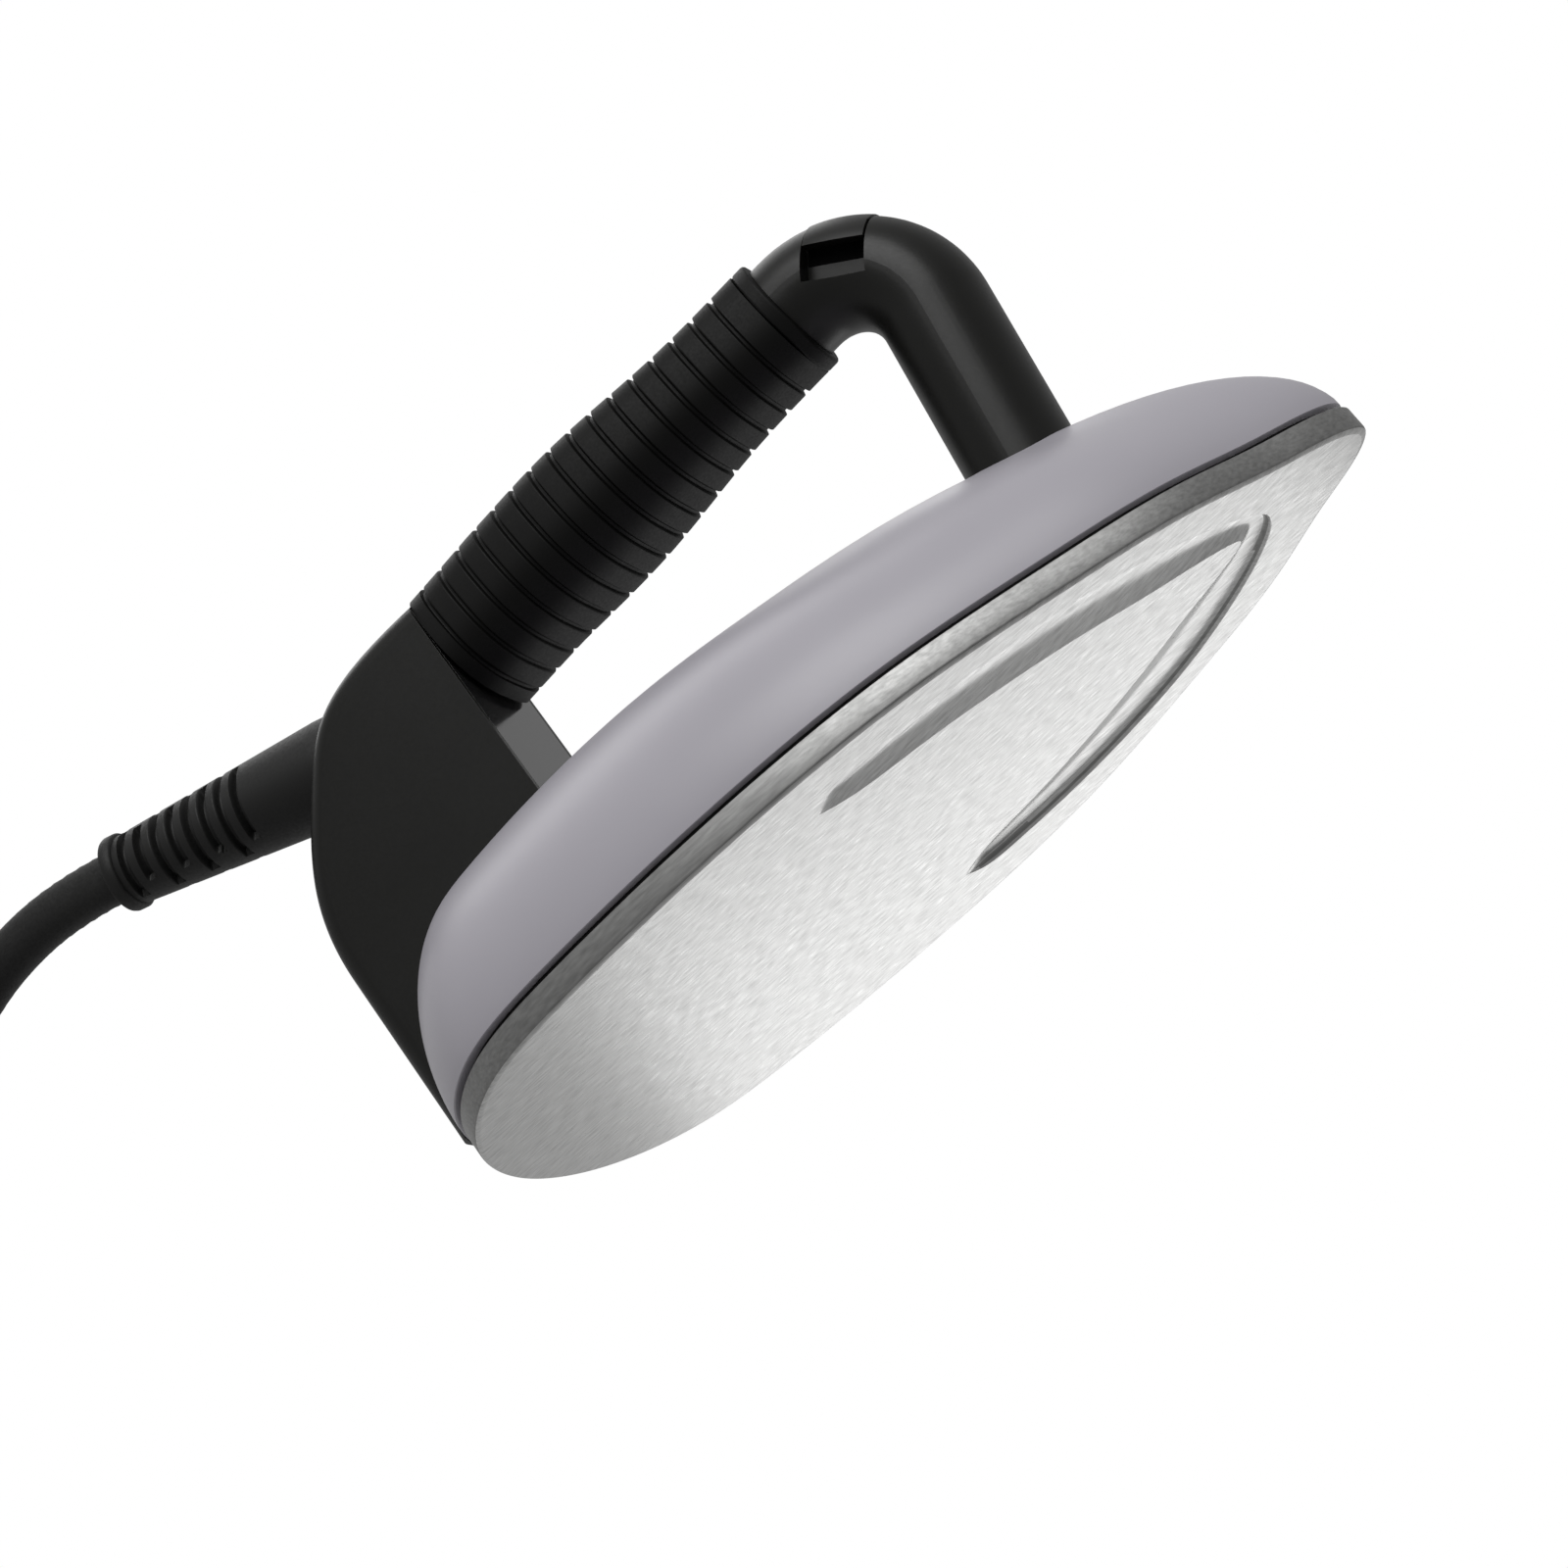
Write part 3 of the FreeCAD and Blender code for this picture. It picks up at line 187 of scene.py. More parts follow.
def smooth_line(points, count, closed=False):
    """Evenly spread points of the smooth line through the given ones."""
    knots = np.array(points, float)
    if closed:
        knots = np.vstack([knots, knots[:1]])
    spans = np.diff(knots, axis=0)
    steps = np.linalg.norm(spans, axis=1)
    total = len(steps) if closed else len(steps) + 1
    weights, pulls = np.zeros((total, total)), np.zeros((total, knots.shape[1]))
    for i in range(total):
        before, after = (i - 1) % len(steps), i % len(steps)
        if not closed and i in (0, total - 1):
            last = 0 if i == 0 else before
            weights[i, i], weights[i, 1 if i == 0 else i - 1] = 2, 1
            pulls[i] = 3 * spans[last] / steps[last]
            continue
        weights[i, (i - 1) % total] += 1 / steps[before]
        weights[i, i] += 2 / steps[before] + 2 / steps[after]
        weights[i, (i + 1) % total] += 1 / steps[after]
        pulls[i] = 3 * (spans[before] / steps[before] ** 2 + spans[after] / steps[after] ** 2)
    slopes = np.linalg.solve(weights, pulls)
    if closed:
        slopes = np.vstack([slopes, slopes[:1]])
    dense = []
    for i, step in enumerate(steps):
        for t in np.linspace(0, 1, 48, endpoint=False):
            dense.append(knots[i] * (2 * t ** 3 - 3 * t ** 2 + 1)
                         + slopes[i] * step * (t ** 3 - 2 * t ** 2 + t)
                         + knots[i + 1] * (3 * t ** 2 - 2 * t ** 3)
                         + slopes[i + 1] * step * (t ** 3 - t ** 2))
    dense = np.array(dense + [knots[-1]])
    length = np.concatenate([[0], np.cumsum(np.linalg.norm(np.diff(dense, axis=0), axis=1))])
    wanted = np.linspace(0, length[-1], count, endpoint=not closed)
    return np.column_stack([np.interp(wanted, length, dense[:, k]) for k in range(dense.shape[1])])


def sheet_faces(rows, round_count, first=0, along_closed=False, round_closed=True):
    """Quads between neighbouring rows of equal length."""
    faces = []
    for row in range(rows if along_closed else rows - 1):
        for k in range(round_count if round_closed else round_count - 1):
            here, there = first + row * round_count, first + (row + 1) % rows * round_count
            after = (k + 1) % round_count
            faces.append((here + k, here + after, there + after, there + k))
    return faces


def draft_mesh(name, points, faces, merge=False):
    """A smooth mesh from points in millimetres, with its faces turned outwards."""
    mesh = bpy.data.meshes.new(name)
    mesh.from_pydata([tuple(MM * float(c) for c in point) for point in points], [], faces)
    shape = bmesh.new()
    shape.from_mesh(mesh)
    if merge:
        bmesh.ops.remove_doubles(shape, verts=shape.verts, dist=SAME_PLACE)
    bmesh.ops.recalc_face_normals(shape, faces=shape.faces)
    shape.to_mesh(mesh)
    shape.free()
    mesh.shade_smooth()
    return mesh


def piece(name, points, faces, *nodes, material=None, sharp=40.0):
    """A new mesh in place of CAD nodes, on the body of the first of them."""
    mesh = draft_mesh(name, points, faces, merge=True)
    mesh.set_sharp_from_angle(angle=math.radians(sharp))
    return place(bpy.data.objects.new(name, mesh), *nodes, material=material)


def place(item, *nodes, material=None):
    """Put an object in the scene, riding where the first of its CAD nodes rides, and standing for them."""
    if item.name not in bpy.context.scene.collection.objects:
        bpy.context.scene.collection.objects.link(item)
    if material:
        item.data.materials.clear()
        item.data.materials.append(material)
    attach(item, NODES[nodes[0]]["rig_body"])
    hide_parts(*nodes)
    return item


def baked(item, name):
    """The object with its modifiers turned into plain mesh."""
    bpy.context.view_layer.update()
    evaluated = item.evaluated_get(bpy.context.evaluated_depsgraph_get())
    mesh = bpy.data.meshes.new_from_object(evaluated)
    bpy.data.objects.remove(item)
    mesh.name = name
    return bpy.data.objects.new(name, mesh)


def softened(node, width, segments=3, angle=35.0):
    """A CAD piece with its facets merged and its edges rounded over."""
    mesh = NODES[node].data.copy()
    shape = bmesh.new()
    shape.from_mesh(mesh)
    bmesh.ops.remove_doubles(shape, verts=shape.verts, dist=SAME_PLACE)
    bmesh.ops.dissolve_limit(shape, angle_limit=FLAT_WITHIN, verts=shape.verts, edges=shape.edges)
    shape.to_mesh(mesh)
    shape.free()
    mesh.attributes.active = None
    if mesh.has_custom_normals:
        mesh.attributes.remove(mesh.attributes["custom_normal"])
    mesh.shade_smooth()
    item = bpy.data.objects.new(node + "_draft", mesh)
    bpy.context.scene.collection.objects.link(item)
    bevel = item.modifiers.new("edge_round", "BEVEL")
    bevel.width = width * MM
    bevel.segments = segments
    bevel.limit_method = "ANGLE"
    bevel.angle_limit = math.radians(angle)
    bevel.harden_normals = True
    return place(baked(item, node + "_finished"), node)


# ---------------------------------------------------------------- finishes


def paint(code):
    """A colour for the shader from its red, green and blue, two figures each."""
    shares = [int(code[i:i + 2], 16) / 255 for i in (0, 2, 4)]
    return tuple(((c + 0.055) / 1.055) ** 2.4 if c > 0.04045 else c / 12.92 for c in shares) + (1.0,)


def grain(tree, scale, stretch=(1.0, 1.0, 1.0), detail=4.0):
    """Noise over the piece, 0 to 1; stretch squeezes it along an axis."""
    where = add(tree, "ShaderNodeTexCoord").outputs["Object"]
    where = add(tree, "ShaderNodeMapping", {"Vector": where, "Scale": stretch}).outputs["Vector"]
    return add(tree, "ShaderNodeTexNoise",
               {"Vector": where, "Scale": scale, "Detail": detail}).outputs[0]


def spread(tree, value, low, high, first=0.3, last=0.7):
    """A value taken from one range to another."""
    return add(tree, "ShaderNodeMapRange", {"Value": value, "From Min": first, "From Max": last,
                                            "To Min": low, "To Max": high}).outputs["Result"]


def shade(tree, value, dark, pale, first=0.3, last=0.7):
    """A colour between two, chosen by a value."""
    ramp = add(tree, "ShaderNodeValToRGB", {"Fac": value})
    for stop, place_on_ramp, code in zip(ramp.color_ramp.elements, (first, last), (dark, pale)):
        stop.position = place_on_ramp
        stop.color = paint(code)
    return ramp.outputs["Color"]


def finish(name, dark, pale, rough, fine, depth, stretch=(1.0, 1.0, 1.0), broad=25.0, **uniform):
    """A material: slow colour change, fine grain in its gloss and relief, and even shader values.

    dark and pale are the ends of its colour, rough the range of its roughness, broad and fine the scales
    of its cloudiness and its grain, and depth the height of the grain in millimetres.
    """
    material = bpy.data.materials.new(name)
    material.use_nodes = True
    tree = material.node_tree
    shader = tree.nodes["Principled BSDF"]
    for socket, value in uniform.items():
        shader.inputs[socket.replace("_", " ")].default_value = value
    cloud = grain(tree, broad, stretch)
    fleck = grain(tree, fine, stretch, 6.0)
    tree.links.new(shade(tree, cloud, dark, pale), shader.inputs["Base Color"])
    tree.links.new(spread(tree, fleck, rough[0], rough[1]), shader.inputs["Roughness"])
    bump = add(tree, "ShaderNodeBump", {"Height": fleck, "Distance": depth * MM, "Strength": 1.0})
    tree.links.new(bump.outputs["Normal"], shader.inputs["Normal"])
    return material


ALONG = (0.13, 1.0, 1.0)      # grain drawn out along the iron
FINISHES = {row[0]: finish(*row[:-1], **row[-1]) for row in (
    ("brushed_steel", "bcbcbb", "e0e0df", (0.26, 0.4), 2600, 0.004, ALONG, 1700, {"Metallic": 1.0}),
    # partly painted shade: the darker colour holds down the softbox's reflection on the upright edge; the
    # rougher gloss is its finish
    ("milled_edge", "8e8e8d", "a6a6a5", (0.4, 0.5), 2600, 0.002, ALONG, 1500, {"Metallic": 1.0}),
    ("cast_aluminium", "8d8f90", "a6a8a9", (0.45, 0.65), 900, 0.03, {"Metallic": 1.0}),
    ("element_steel", "4c4a47", "6a6763", (0.35, 0.55), 1200, 0.01, {"Metallic": 1.0}),
    # black silicone for the cord boot; for the steam vents, painted shade on flat discs standing for their
    # holes
    ("black_silicone", "0b0b0a", "131312", (0.5, 0.66), 1500, 0.008, {}),
    ("lilac_shell", "b6b3bb", "bab7bf", (0.36, 0.44), 1800, 0.002,
     {"Coat_Weight": 0.25, "Coat_Roughness": 0.3}),
    ("deck_plastic", "303234", "3a3c3e", (0.5, 0.65), 1500, 0.01, {}),
    ("handle_black", "121210", "181816", (0.34, 0.42), 2200, 0.004, {"Specular_IOR_Level": 0.36}),
    # painted shade: dead black for the box that blackens the trigger's window
    ("window_dark", "010101", "020202", (0.8, 0.9), 2200, 0.004, {"Specular_IOR_Level": 0.1}),
    ("panel_grey", "202020", "262626", (0.12, 0.2), 2200, 0.002, {}),
    ("grip_rubber", "040403", "080807", (0.5, 0.62), 2000, 0.008, {"Specular_IOR_Level": 0.22}),
    ("bright_steel", "b0b0ae", "cfcfcd", (0.2, 0.36), 1500, 0.004, {"Metallic": 1.0}),
    ("white_plastic", "d6d3ca", "e2e0d9", (0.4, 0.5), 1500, 0.006, {}),
    ("lead_wire", "8a2f22", "9a3a2c", (0.4, 0.55), 1500, 0.006, {}),
    ("steam_brass", "a98a45", "c2a45c", (0.25, 0.4), 1200, 0.006, {"Metallic": 1.0}),
    ("hose_silicone", "b8b4ab", "c8c5bd", (0.4, 0.5), 1200, 0.008, {}),
    ("cord_textile", "0b0b0b", "1b1b1a", (0.7, 0.9), 1600, 0.03, {"Sheen_Weight": 0.15}),
    ("connector_plastic", "1b1c1d", "232425", (0.38, 0.5), 1800, 0.008, {}),
    ("pin_metal", "b09a5e", "c9b57b", (0.2, 0.35), 1500, 0.003, {"Metallic": 1.0}),
)}
for node, item in NODES.items():
    item.data.materials.clear()
    item.data.materials.append(FINISHES[SLOT_OF[node]])

# ---------------------------------------------------------------- node trees that shape repeats


def shape_tree(name, inputs):
    """An empty geometry tree with named number inputs; gives the tree, its inputs and its output node."""
    tree = bpy.data.node_groups.new(name, "GeometryNodeTree")
    tree.interface.new_socket("Geometry", in_out="INPUT", socket_type="NodeSocketGeometry")
    tree.interface.new_socket("Geometry", in_out="OUTPUT", socket_type="NodeSocketGeometry")
    for label, value in inputs.items():
        kind = "Vector" if isinstance(value, tuple) else "Material" if value is None else "Float"
        socket = tree.interface.new_socket(label, in_out="INPUT", socket_type="NodeSocket" + kind)
        if value is not None:
            socket.default_value = value
    return tree, add(tree, "NodeGroupInput").outputs, add(tree, "NodeGroupOutput")


def closing(tree, shape, material, out):
    """End a tree: instances made real, finish set."""
    real = add(tree, "GeometryNodeRealizeInstances", {"Geometry": shape}).outputs["Geometry"]
    dressed = add(tree, "GeometryNodeSetMaterial", {"Geometry": real, "Material": material})
    tree.links.new(dressed.outputs["Geometry"], out.inputs["Geometry"])


def calculate(tree, operation, first, second=0.0):
    """The result of one sum on numbers or sockets."""
    return add(tree, "ShaderNodeMath", {0: first, 1: second}, operation=operation).outputs["Value"]


def vector_sum(tree, operation, first, second):
    """The node of one sum on two vectors."""
    return add(tree, "ShaderNodeVectorMath", {0: first, 1: second}, operation=operation)


def pushed_out(tree, shape, distance):
    """A mesh with each of its points moved along its normal."""
    outward = add(tree, "GeometryNodeInputNormal").outputs["Normal"]
    move = add(tree, "ShaderNodeVectorMath", {0: outward, "Scale": distance},
               operation="SCALE").outputs["Vector"]
    return add(tree, "GeometryNodeSetPosition", {"Geometry": shape, "Offset": move}).outputs["Geometry"]


def shaped(item, tree, values, name):
    """Run a tree on an object with its inputs set, and keep the result as a plain mesh."""
    if item.name not in bpy.context.scene.collection.objects:
        bpy.context.scene.collection.objects.link(item)
    modifier = item.modifiers.new(tree.name, "NODES")
    modifier.node_group = tree
    for socket in tree.interface.items_tree:
        if socket.in_out == "INPUT" and socket.name in values:
            modifier[socket.identifier] = values[socket.name]
    return baked(item, name)


GROOVE_WALL = 0.22             # half of a groove wall's slope, as a share of the groove's width


def groove_tree():
    """Sinks a row of narrow grooves across a body's axis, whole rings or left standing at two sides."""
    tree, given, out = shape_tree("groove_row", {
        "Start": (0.0, 0.0, 0.0), "Axis": (1.0, 0.0, 0.0), "Side": (0.0, 1.0, 0.0),
        "First": 0.0, "Last": 1.0, "Pitch": 0.01, "Width": 0.001, "Depth": 0.001,
        "Open from": -1.0, "Finish": None})
    place_now = add(tree, "GeometryNodeInputPosition").outputs["Position"]
    away = vector_sum(tree, "SUBTRACT", place_now, given["Start"]).outputs["Vector"]
    reach = vector_sum(tree, "DOT_PRODUCT", away, given["Axis"]).outputs["Value"]
    aside = vector_sum(tree, "DOT_PRODUCT", away, given["Side"]).outputs["Value"]
    aside = calculate(tree, "ABSOLUTE", aside)
    past = calculate(tree, "SUBTRACT", reach, given["First"])
    grooves_past = calculate(tree, "ROUND", calculate(tree, "DIVIDE", past, given["Pitch"]))
    nearest = calculate(tree, "MULTIPLY", grooves_past, given["Pitch"])
    off = calculate(tree, "ABSOLUTE", calculate(tree, "SUBTRACT", past, nearest))
    half = calculate(tree, "MULTIPLY", given["Width"], 0.5)
    wall = calculate(tree, "MULTIPLY", given["Width"], GROOVE_WALL)
    sunk = add(tree, "ShaderNodeMapRange",
               {"Value": off, "From Min": calculate(tree, "SUBTRACT", half, wall),
                "From Max": calculate(tree, "ADD", half, wall), "To Min": 1.0, "To Max": 0.0},
               interpolation_type="SMOOTHSTEP").outputs["Result"]
    for test, limit, value in (("GREATER_THAN", calculate(tree, "SUBTRACT", given["First"], half), reach),
                               ("LESS_THAN", calculate(tree, "ADD", given["Last"], half), reach),
                               ("GREATER_THAN", given["Open from"], aside)):
        sunk = calculate(tree, "MULTIPLY", sunk, calculate(tree, test, value, limit))
    drop = calculate(tree, "MULTIPLY", calculate(tree, "MULTIPLY", sunk, given["Depth"]), -1.0)
    closing(tree, pushed_out(tree, given["Geometry"], drop), given["Finish"], out)
    return tree


GROOVES = groove_tree()

# ---------------------------------------------------------------- soleplate

# Half of the sole's outline: (share of the length from the rear, share of the half width).
OUTLINE = [(0.0, 0.0), (0.012, 0.31), (0.056, 0.642), (0.116, 0.842), (0.209, 0.942), (0.41, 1.0),
           (0.605, 0.912), (0.745, 0.706), (0.86, 0.482), (0.93, 0.272), (0.96, 0.194), (0.98, 0.133),
           (0.992, 0.081), (1.0, 0.0)]
CHANNEL_OUTER = [(0.459, 0.672), (0.474, 0.738), (0.512, 0.763), (0.586, 0.745), (0.665, 0.68),
                 (0.744, 0.564), (0.819, 0.371), (0.873, 0.161), (0.891, 0.0)]
CHANNEL_INNER = [(0.459, 0.672), (0.484, 0.614), (0.549, 0.546), (0.633, 0.45), (0.712, 0.321),
                 (0.786, 0.171), (0.844, 0.057), (0.8586, 0.0)]
SOLE_LENGTH, SOLE_HALF = 215.0, 56.0
TIP_RATIO = 1.7                # an inset of 1 along the sides moves the tip back by this much
SOLE_TOP, SOLE_FLOOR, RIM = 5.8, 2.9, 3.6
EDGE_ROUND = 0.9               # radius of the lower edge
EDGE_FOOT = 0.4                # height where the milled finish starts
LEVEL_FACE = 0.99999           # least upward share of a level face's normal
FACE_START = EDGE_ROUND + 0.4  # where the flat face takes over from the rounded edge
CHANNEL_DEPTH = 1.5
# Across the channel: (share of its width from its inner edge, share of its depth).
CHANNEL_RAMP = [(0.0, 0.0), (0.012, 0.02), (0.035, 0.09), (0.12, 0.3), (0.24, 0.59), (0.36, 0.86),
                (0.42, 0.95), (0.5, 1.0), (0.68, 0.97), (0.82, 0.93), (0.88, 0.88), (0.92, 0.66),
                (0.95, 0.34), (0.975, 0.1), (0.99, 0.02), (1.0, 0.0)]
CHANNEL_COUNT = 260
CHANNEL_FADE = 28              # the depth fades out over the last 1/28 of each arm
ROUND_COUNT = 420


def both_sides(shares, closed):
    """Points down the near side and back up the far side."""
    near = [(REAR + share * SOLE_LENGTH, -across * SOLE_HALF) for share, across in shares]
    far = [(x, -y) for x, y in reversed(near[:-1])]
    return near + (far[:-1] if closed else far)


OUTLINE_POINTS = smooth_line(both_sides(OUTLINE, True), ROUND_COUNT, closed=True)


def outline(inset, tip_extra=0.0):
    """The sole's outline moved in by an inset, as the plates of the iron nest."""
    along = 1 - (inset * (1 + TIP_RATIO) + tip_extra) / SOLE_LENGTH
    across = 1 - inset / SOLE_HALF
    x = REAR + inset + (OUTLINE_POINTS[:, 0] - REAR) * along
    return np.column_stack([x, OUTLINE_POINTS[:, 1] * across])


def channel_edges(count):
    """The channel's outer and inner edge, from the near arm round the tip to the far arm."""
    return [smooth_line(both_sides(edge, False), count) for edge in (CHANNEL_OUTER, CHANNEL_INNER)]


def level(ring, height):
    """A flat ring at a height."""
    return [(x, y, height) for x, y in ring]


def flat_faces(loops, first):
    """Triangles that fill flat loops of points, the first one outside and the others holes."""
    triangles = tessellate_polygon([[Vector((x, y, 0)) for x, y, _ in loop] for loop in loops])
    return [tuple(first + k for k in triangle) for triangle in triangles]


def soleplate():
    """The ironing plate: rounded lower edge, flat face, and a V channel ramped to its outer wall."""
    profile = [(FACE_START, 0.0)]
    for turn in range(0, 91, 15):
        angle = math.radians(turn)
        profile.append((EDGE_ROUND * (1 - math.sin(angle)), EDGE_ROUND * (1 - math.cos(angle))))
    profile += [(0.0, SOLE_TOP - 0.3), (0.1, SOLE_TOP - 0.08), (0.35, SOLE_TOP), (RIM, SOLE_TOP),
                (RIM, SOLE_FLOOR)]
    points = []
    for inset, height in profile:
        points += level(outline(inset), height)
    faces = sheet_faces(len(profile), ROUND_COUNT)
    top = points[-ROUND_COUNT:]
    faces += flat_faces([top], len(points) - ROUND_COUNT)

    outer, inner = channel_edges(CHANNEL_COUNT)
    first = len(points)
    for share, depth in CHANNEL_RAMP:
        for k in range(CHANNEL_COUNT):
            fade = min(1.0, CHANNEL_FADE * min(k, CHANNEL_COUNT - 1 - k) / CHANNEL_COUNT)
            fade = fade * fade * (3 - 2 * fade)
            x, y = inner[k] + share * (outer[k] - inner[k])
            points.append((x, y, CHANNEL_DEPTH * depth * fade))
    faces += sheet_faces(len(CHANNEL_RAMP), CHANNEL_COUNT, first, round_closed=False)
    hole = [(x, y, 0.0) for x, y in list(inner) + list(outer[::-1][1:-1])]
    first = len(points)
    points += points[:ROUND_COUNT] + hole
    faces += flat_faces([points[:ROUND_COUNT], hole], first)
    sheet = piece("sole_sheet", points, faces, "soleplate", material=FINISHES["brushed_steel"])
    sheet.data.materials.append(FINISHES["milled_edge"])
    dress_edge(sheet)


def dress_edge(sheet):
    """The rougher milled finish on the plate's upright edge, its darker colour painted shade, and a crisp
    line round each flat face.
    """
    shape = bmesh.new()
    shape.from_mesh(sheet.data)
    for face in shape.faces:
        upright = abs(face.normal.z) < 0.8
        face.material_index = int(face.calc_center_median().z > EDGE_FOOT * MM and upright)
    for edge in shape.edges:
        flat = [abs(face.normal.z) > LEVEL_FACE for face in edge.link_faces]
        edge.smooth = edge.smooth and len(set(flat)) == 1
    shape.to_mesh(sheet.data)
    shape.free()


VENT_PITCH, VENT_RADIUS = 8.0, 0.5
VENT_SHARE = 0.15              # how far across the channel the vents sit, from its outer edge
VENT_LIFT = 0.03               # how far they stand out of the channel's floor
VENT_END = 12                  # points of each arm's end without vents


def vent_shade_tree():
    """Flat black discs spread evenly along a line, painted shade standing for the dark inside of round
    steam vents.
    """
    tree, given, out = shape_tree("vent_shade_discs", {"Pitch": 0.008, "Radius": 0.0005, "Finish": None})
    spots = add(tree, "GeometryNodeResampleCurve", {"Curve": given["Geometry"], "Length": given["Pitch"]},
                mode="LENGTH")
    hole = add(tree, "GeometryNodeMeshCircle", {"Radius": given["Radius"], "Vertices": 16},
               fill_type="NGON")
    row = add(tree, "GeometryNodeInstanceOnPoints",
              {"Points": spots.outputs["Curve"], "Instance": hole.outputs["Mesh"]})
    closing(tree, row.outputs["Instances"], given["Finish"], out)
    return tree


def steam_vent_shade():
    """The row of vents along the foot of the channel's outer wall, each a black disc of painted shade just
    above the channel's floor.
    """
    outer, inner = channel_edges(200)
    kept = slice(VENT_END, -VENT_END)
    line = bpy.data.curves.new("vent_line", "CURVE")
    line.dimensions = "3D"
    spline = line.splines.new("POLY")
    spots = outer[kept] + VENT_SHARE * (inner[kept] - outer[kept])
    spline.points.add(len(spots) - 1)
    for point, (x, y) in zip(spline.points, spots):
        point.co = (x * MM, y * MM, (CHANNEL_DEPTH - VENT_LIFT) * MM, 1.0)
    vents = shaped(bpy.data.objects.new("vent_line", line), vent_shade_tree(), {
        "Pitch": VENT_PITCH * MM, "Radius": VENT_RADIUS * MM,
        "Finish": FINISHES["black_silicone"]}, "steam_vent_shade")
    place(vents, "soleplate")


soleplate()
steam_vent_shade()

# ---------------------------------------------------------------- body shell

BAND_TOP = 7.1                 # where the shell's foot stands
SHELL_INSET, SHELL_TIP, SHELL_WALL = -0.4, 1.28, 2.2
DOME_HEIGHT = 40.7
DOME_RISE = 0.070              # how much the top climbs for each millimetre along
DOME_CENTRE = 29.0             # of the top, from the sole's rear end
DOME_POWER = 1.88              # 2 is an ellipse; less is fuller at the foot
DOME_STEPS = 40


def dome_ring(lift_turn, grow):
    """One ring of the dome: an angle of 0 is its foot and 90 its top."""
    share = math.sin(lift_turn) ** (2 / DOME_POWER)
    scale = math.cos(lift_turn)
    ring = outline(SHELL_INSET - grow, SHELL_TIP)
    centre = REAR + DOME_CENTRE
    x, y = ring[:, 0] * scale + centre * (1 - scale), ring[:, 1] * scale
    lift = share * DOME_RISE * scale
    height = share * (DOME_HEIGHT + grow + DOME_RISE * DOME_CENTRE) + BAND_TOP
    return [(px, py, height + lift * (sx - centre)) for px, py, sx in zip(x, y, ring[:, 0])]


def body_shell():
    """A low dome on the sole's outline, with a rounded lower lip and an inner wall."""
    turns = [math.radians(90 * k / DOME_STEPS) for k in range(DOME_STEPS)]
    rows = [dome_ring(turn, -SHELL_WALL) for turn in reversed(turns)]
    rows += [dome_ring(0.0, -0.5), dome_ring(0.0, -0.2)]
    rows.append([(x, y, z + 0.12) for x, y, z in dome_ring(0.0, -0.05)])
    rows += [dome_ring(turn, 0.0) for turn in turns[1:]]
    points = [point for row in rows for point in row]
    faces = sheet_faces(len(rows), ROUND_COUNT)
    for ring, first in ((rows[0], 0), (rows[-1], len(points) - ROUND_COUNT)):
        faces += flat_faces([ring], first)
    piece("lilac_dome", points, faces, "body_shell", material=FINISHES["lilac_shell"])


body_shell()

# ---------------------------------------------------------------- grip

GRIP_SLOPE = math.radians(3.7)
GRIP_WAY = Vector((math.cos(GRIP_SLOPE), 0.0, math.sin(GRIP_SLOPE)))
GRIP_UP = Vector((-GRIP_WAY.z, 0.0, GRIP_WAY.x))
CORNER = Vector((REAR + 172.4, 0.0, 99.4))     # where the grip's line and the post's line meet
# Stations are measured along the iron from the sole's rear end.
GRIP_BASE, GRIP_FIRST, GRIP_LAST = 52.8, 54.1, 143.6
RIBS = 17
GROOVE_WIDTH, GROOVE_DEPTH = 1.0, 0.9
CORE = 9.5                     # radius of the bore
# (share of the length from the rear, half width, half height)
GRIP_ROWS = [(0.0, 16.8, 13.4), (0.2, 17.14, 13.49), (0.47, 17.4, 13.7), (0.75, 15.14, 11.92),
             (1.0, 12.9, 12.2)]
SQUARENESS = 2.6
GRIP_DROP = 0.7                # how far the rear end sags under the line
ROUND_SLEEVE = 96              # points round a sleeve


def grip_point(station):
    """The point of the grip's line at a station."""
    return CORNER - GRIP_WAY * ((CORNER.x - REAR - station) / GRIP_WAY.x)


def squarish(part):
    """A cosine or sine pulled out towards a square."""
    return math.copysign(abs(part) ** (2 / SQUARENESS), part)


def round_angles():
    """The angles of a sleeve's points."""
    return [2 * math.pi * k / ROUND_SLEEVE for k in range(ROUND_SLEEVE)]


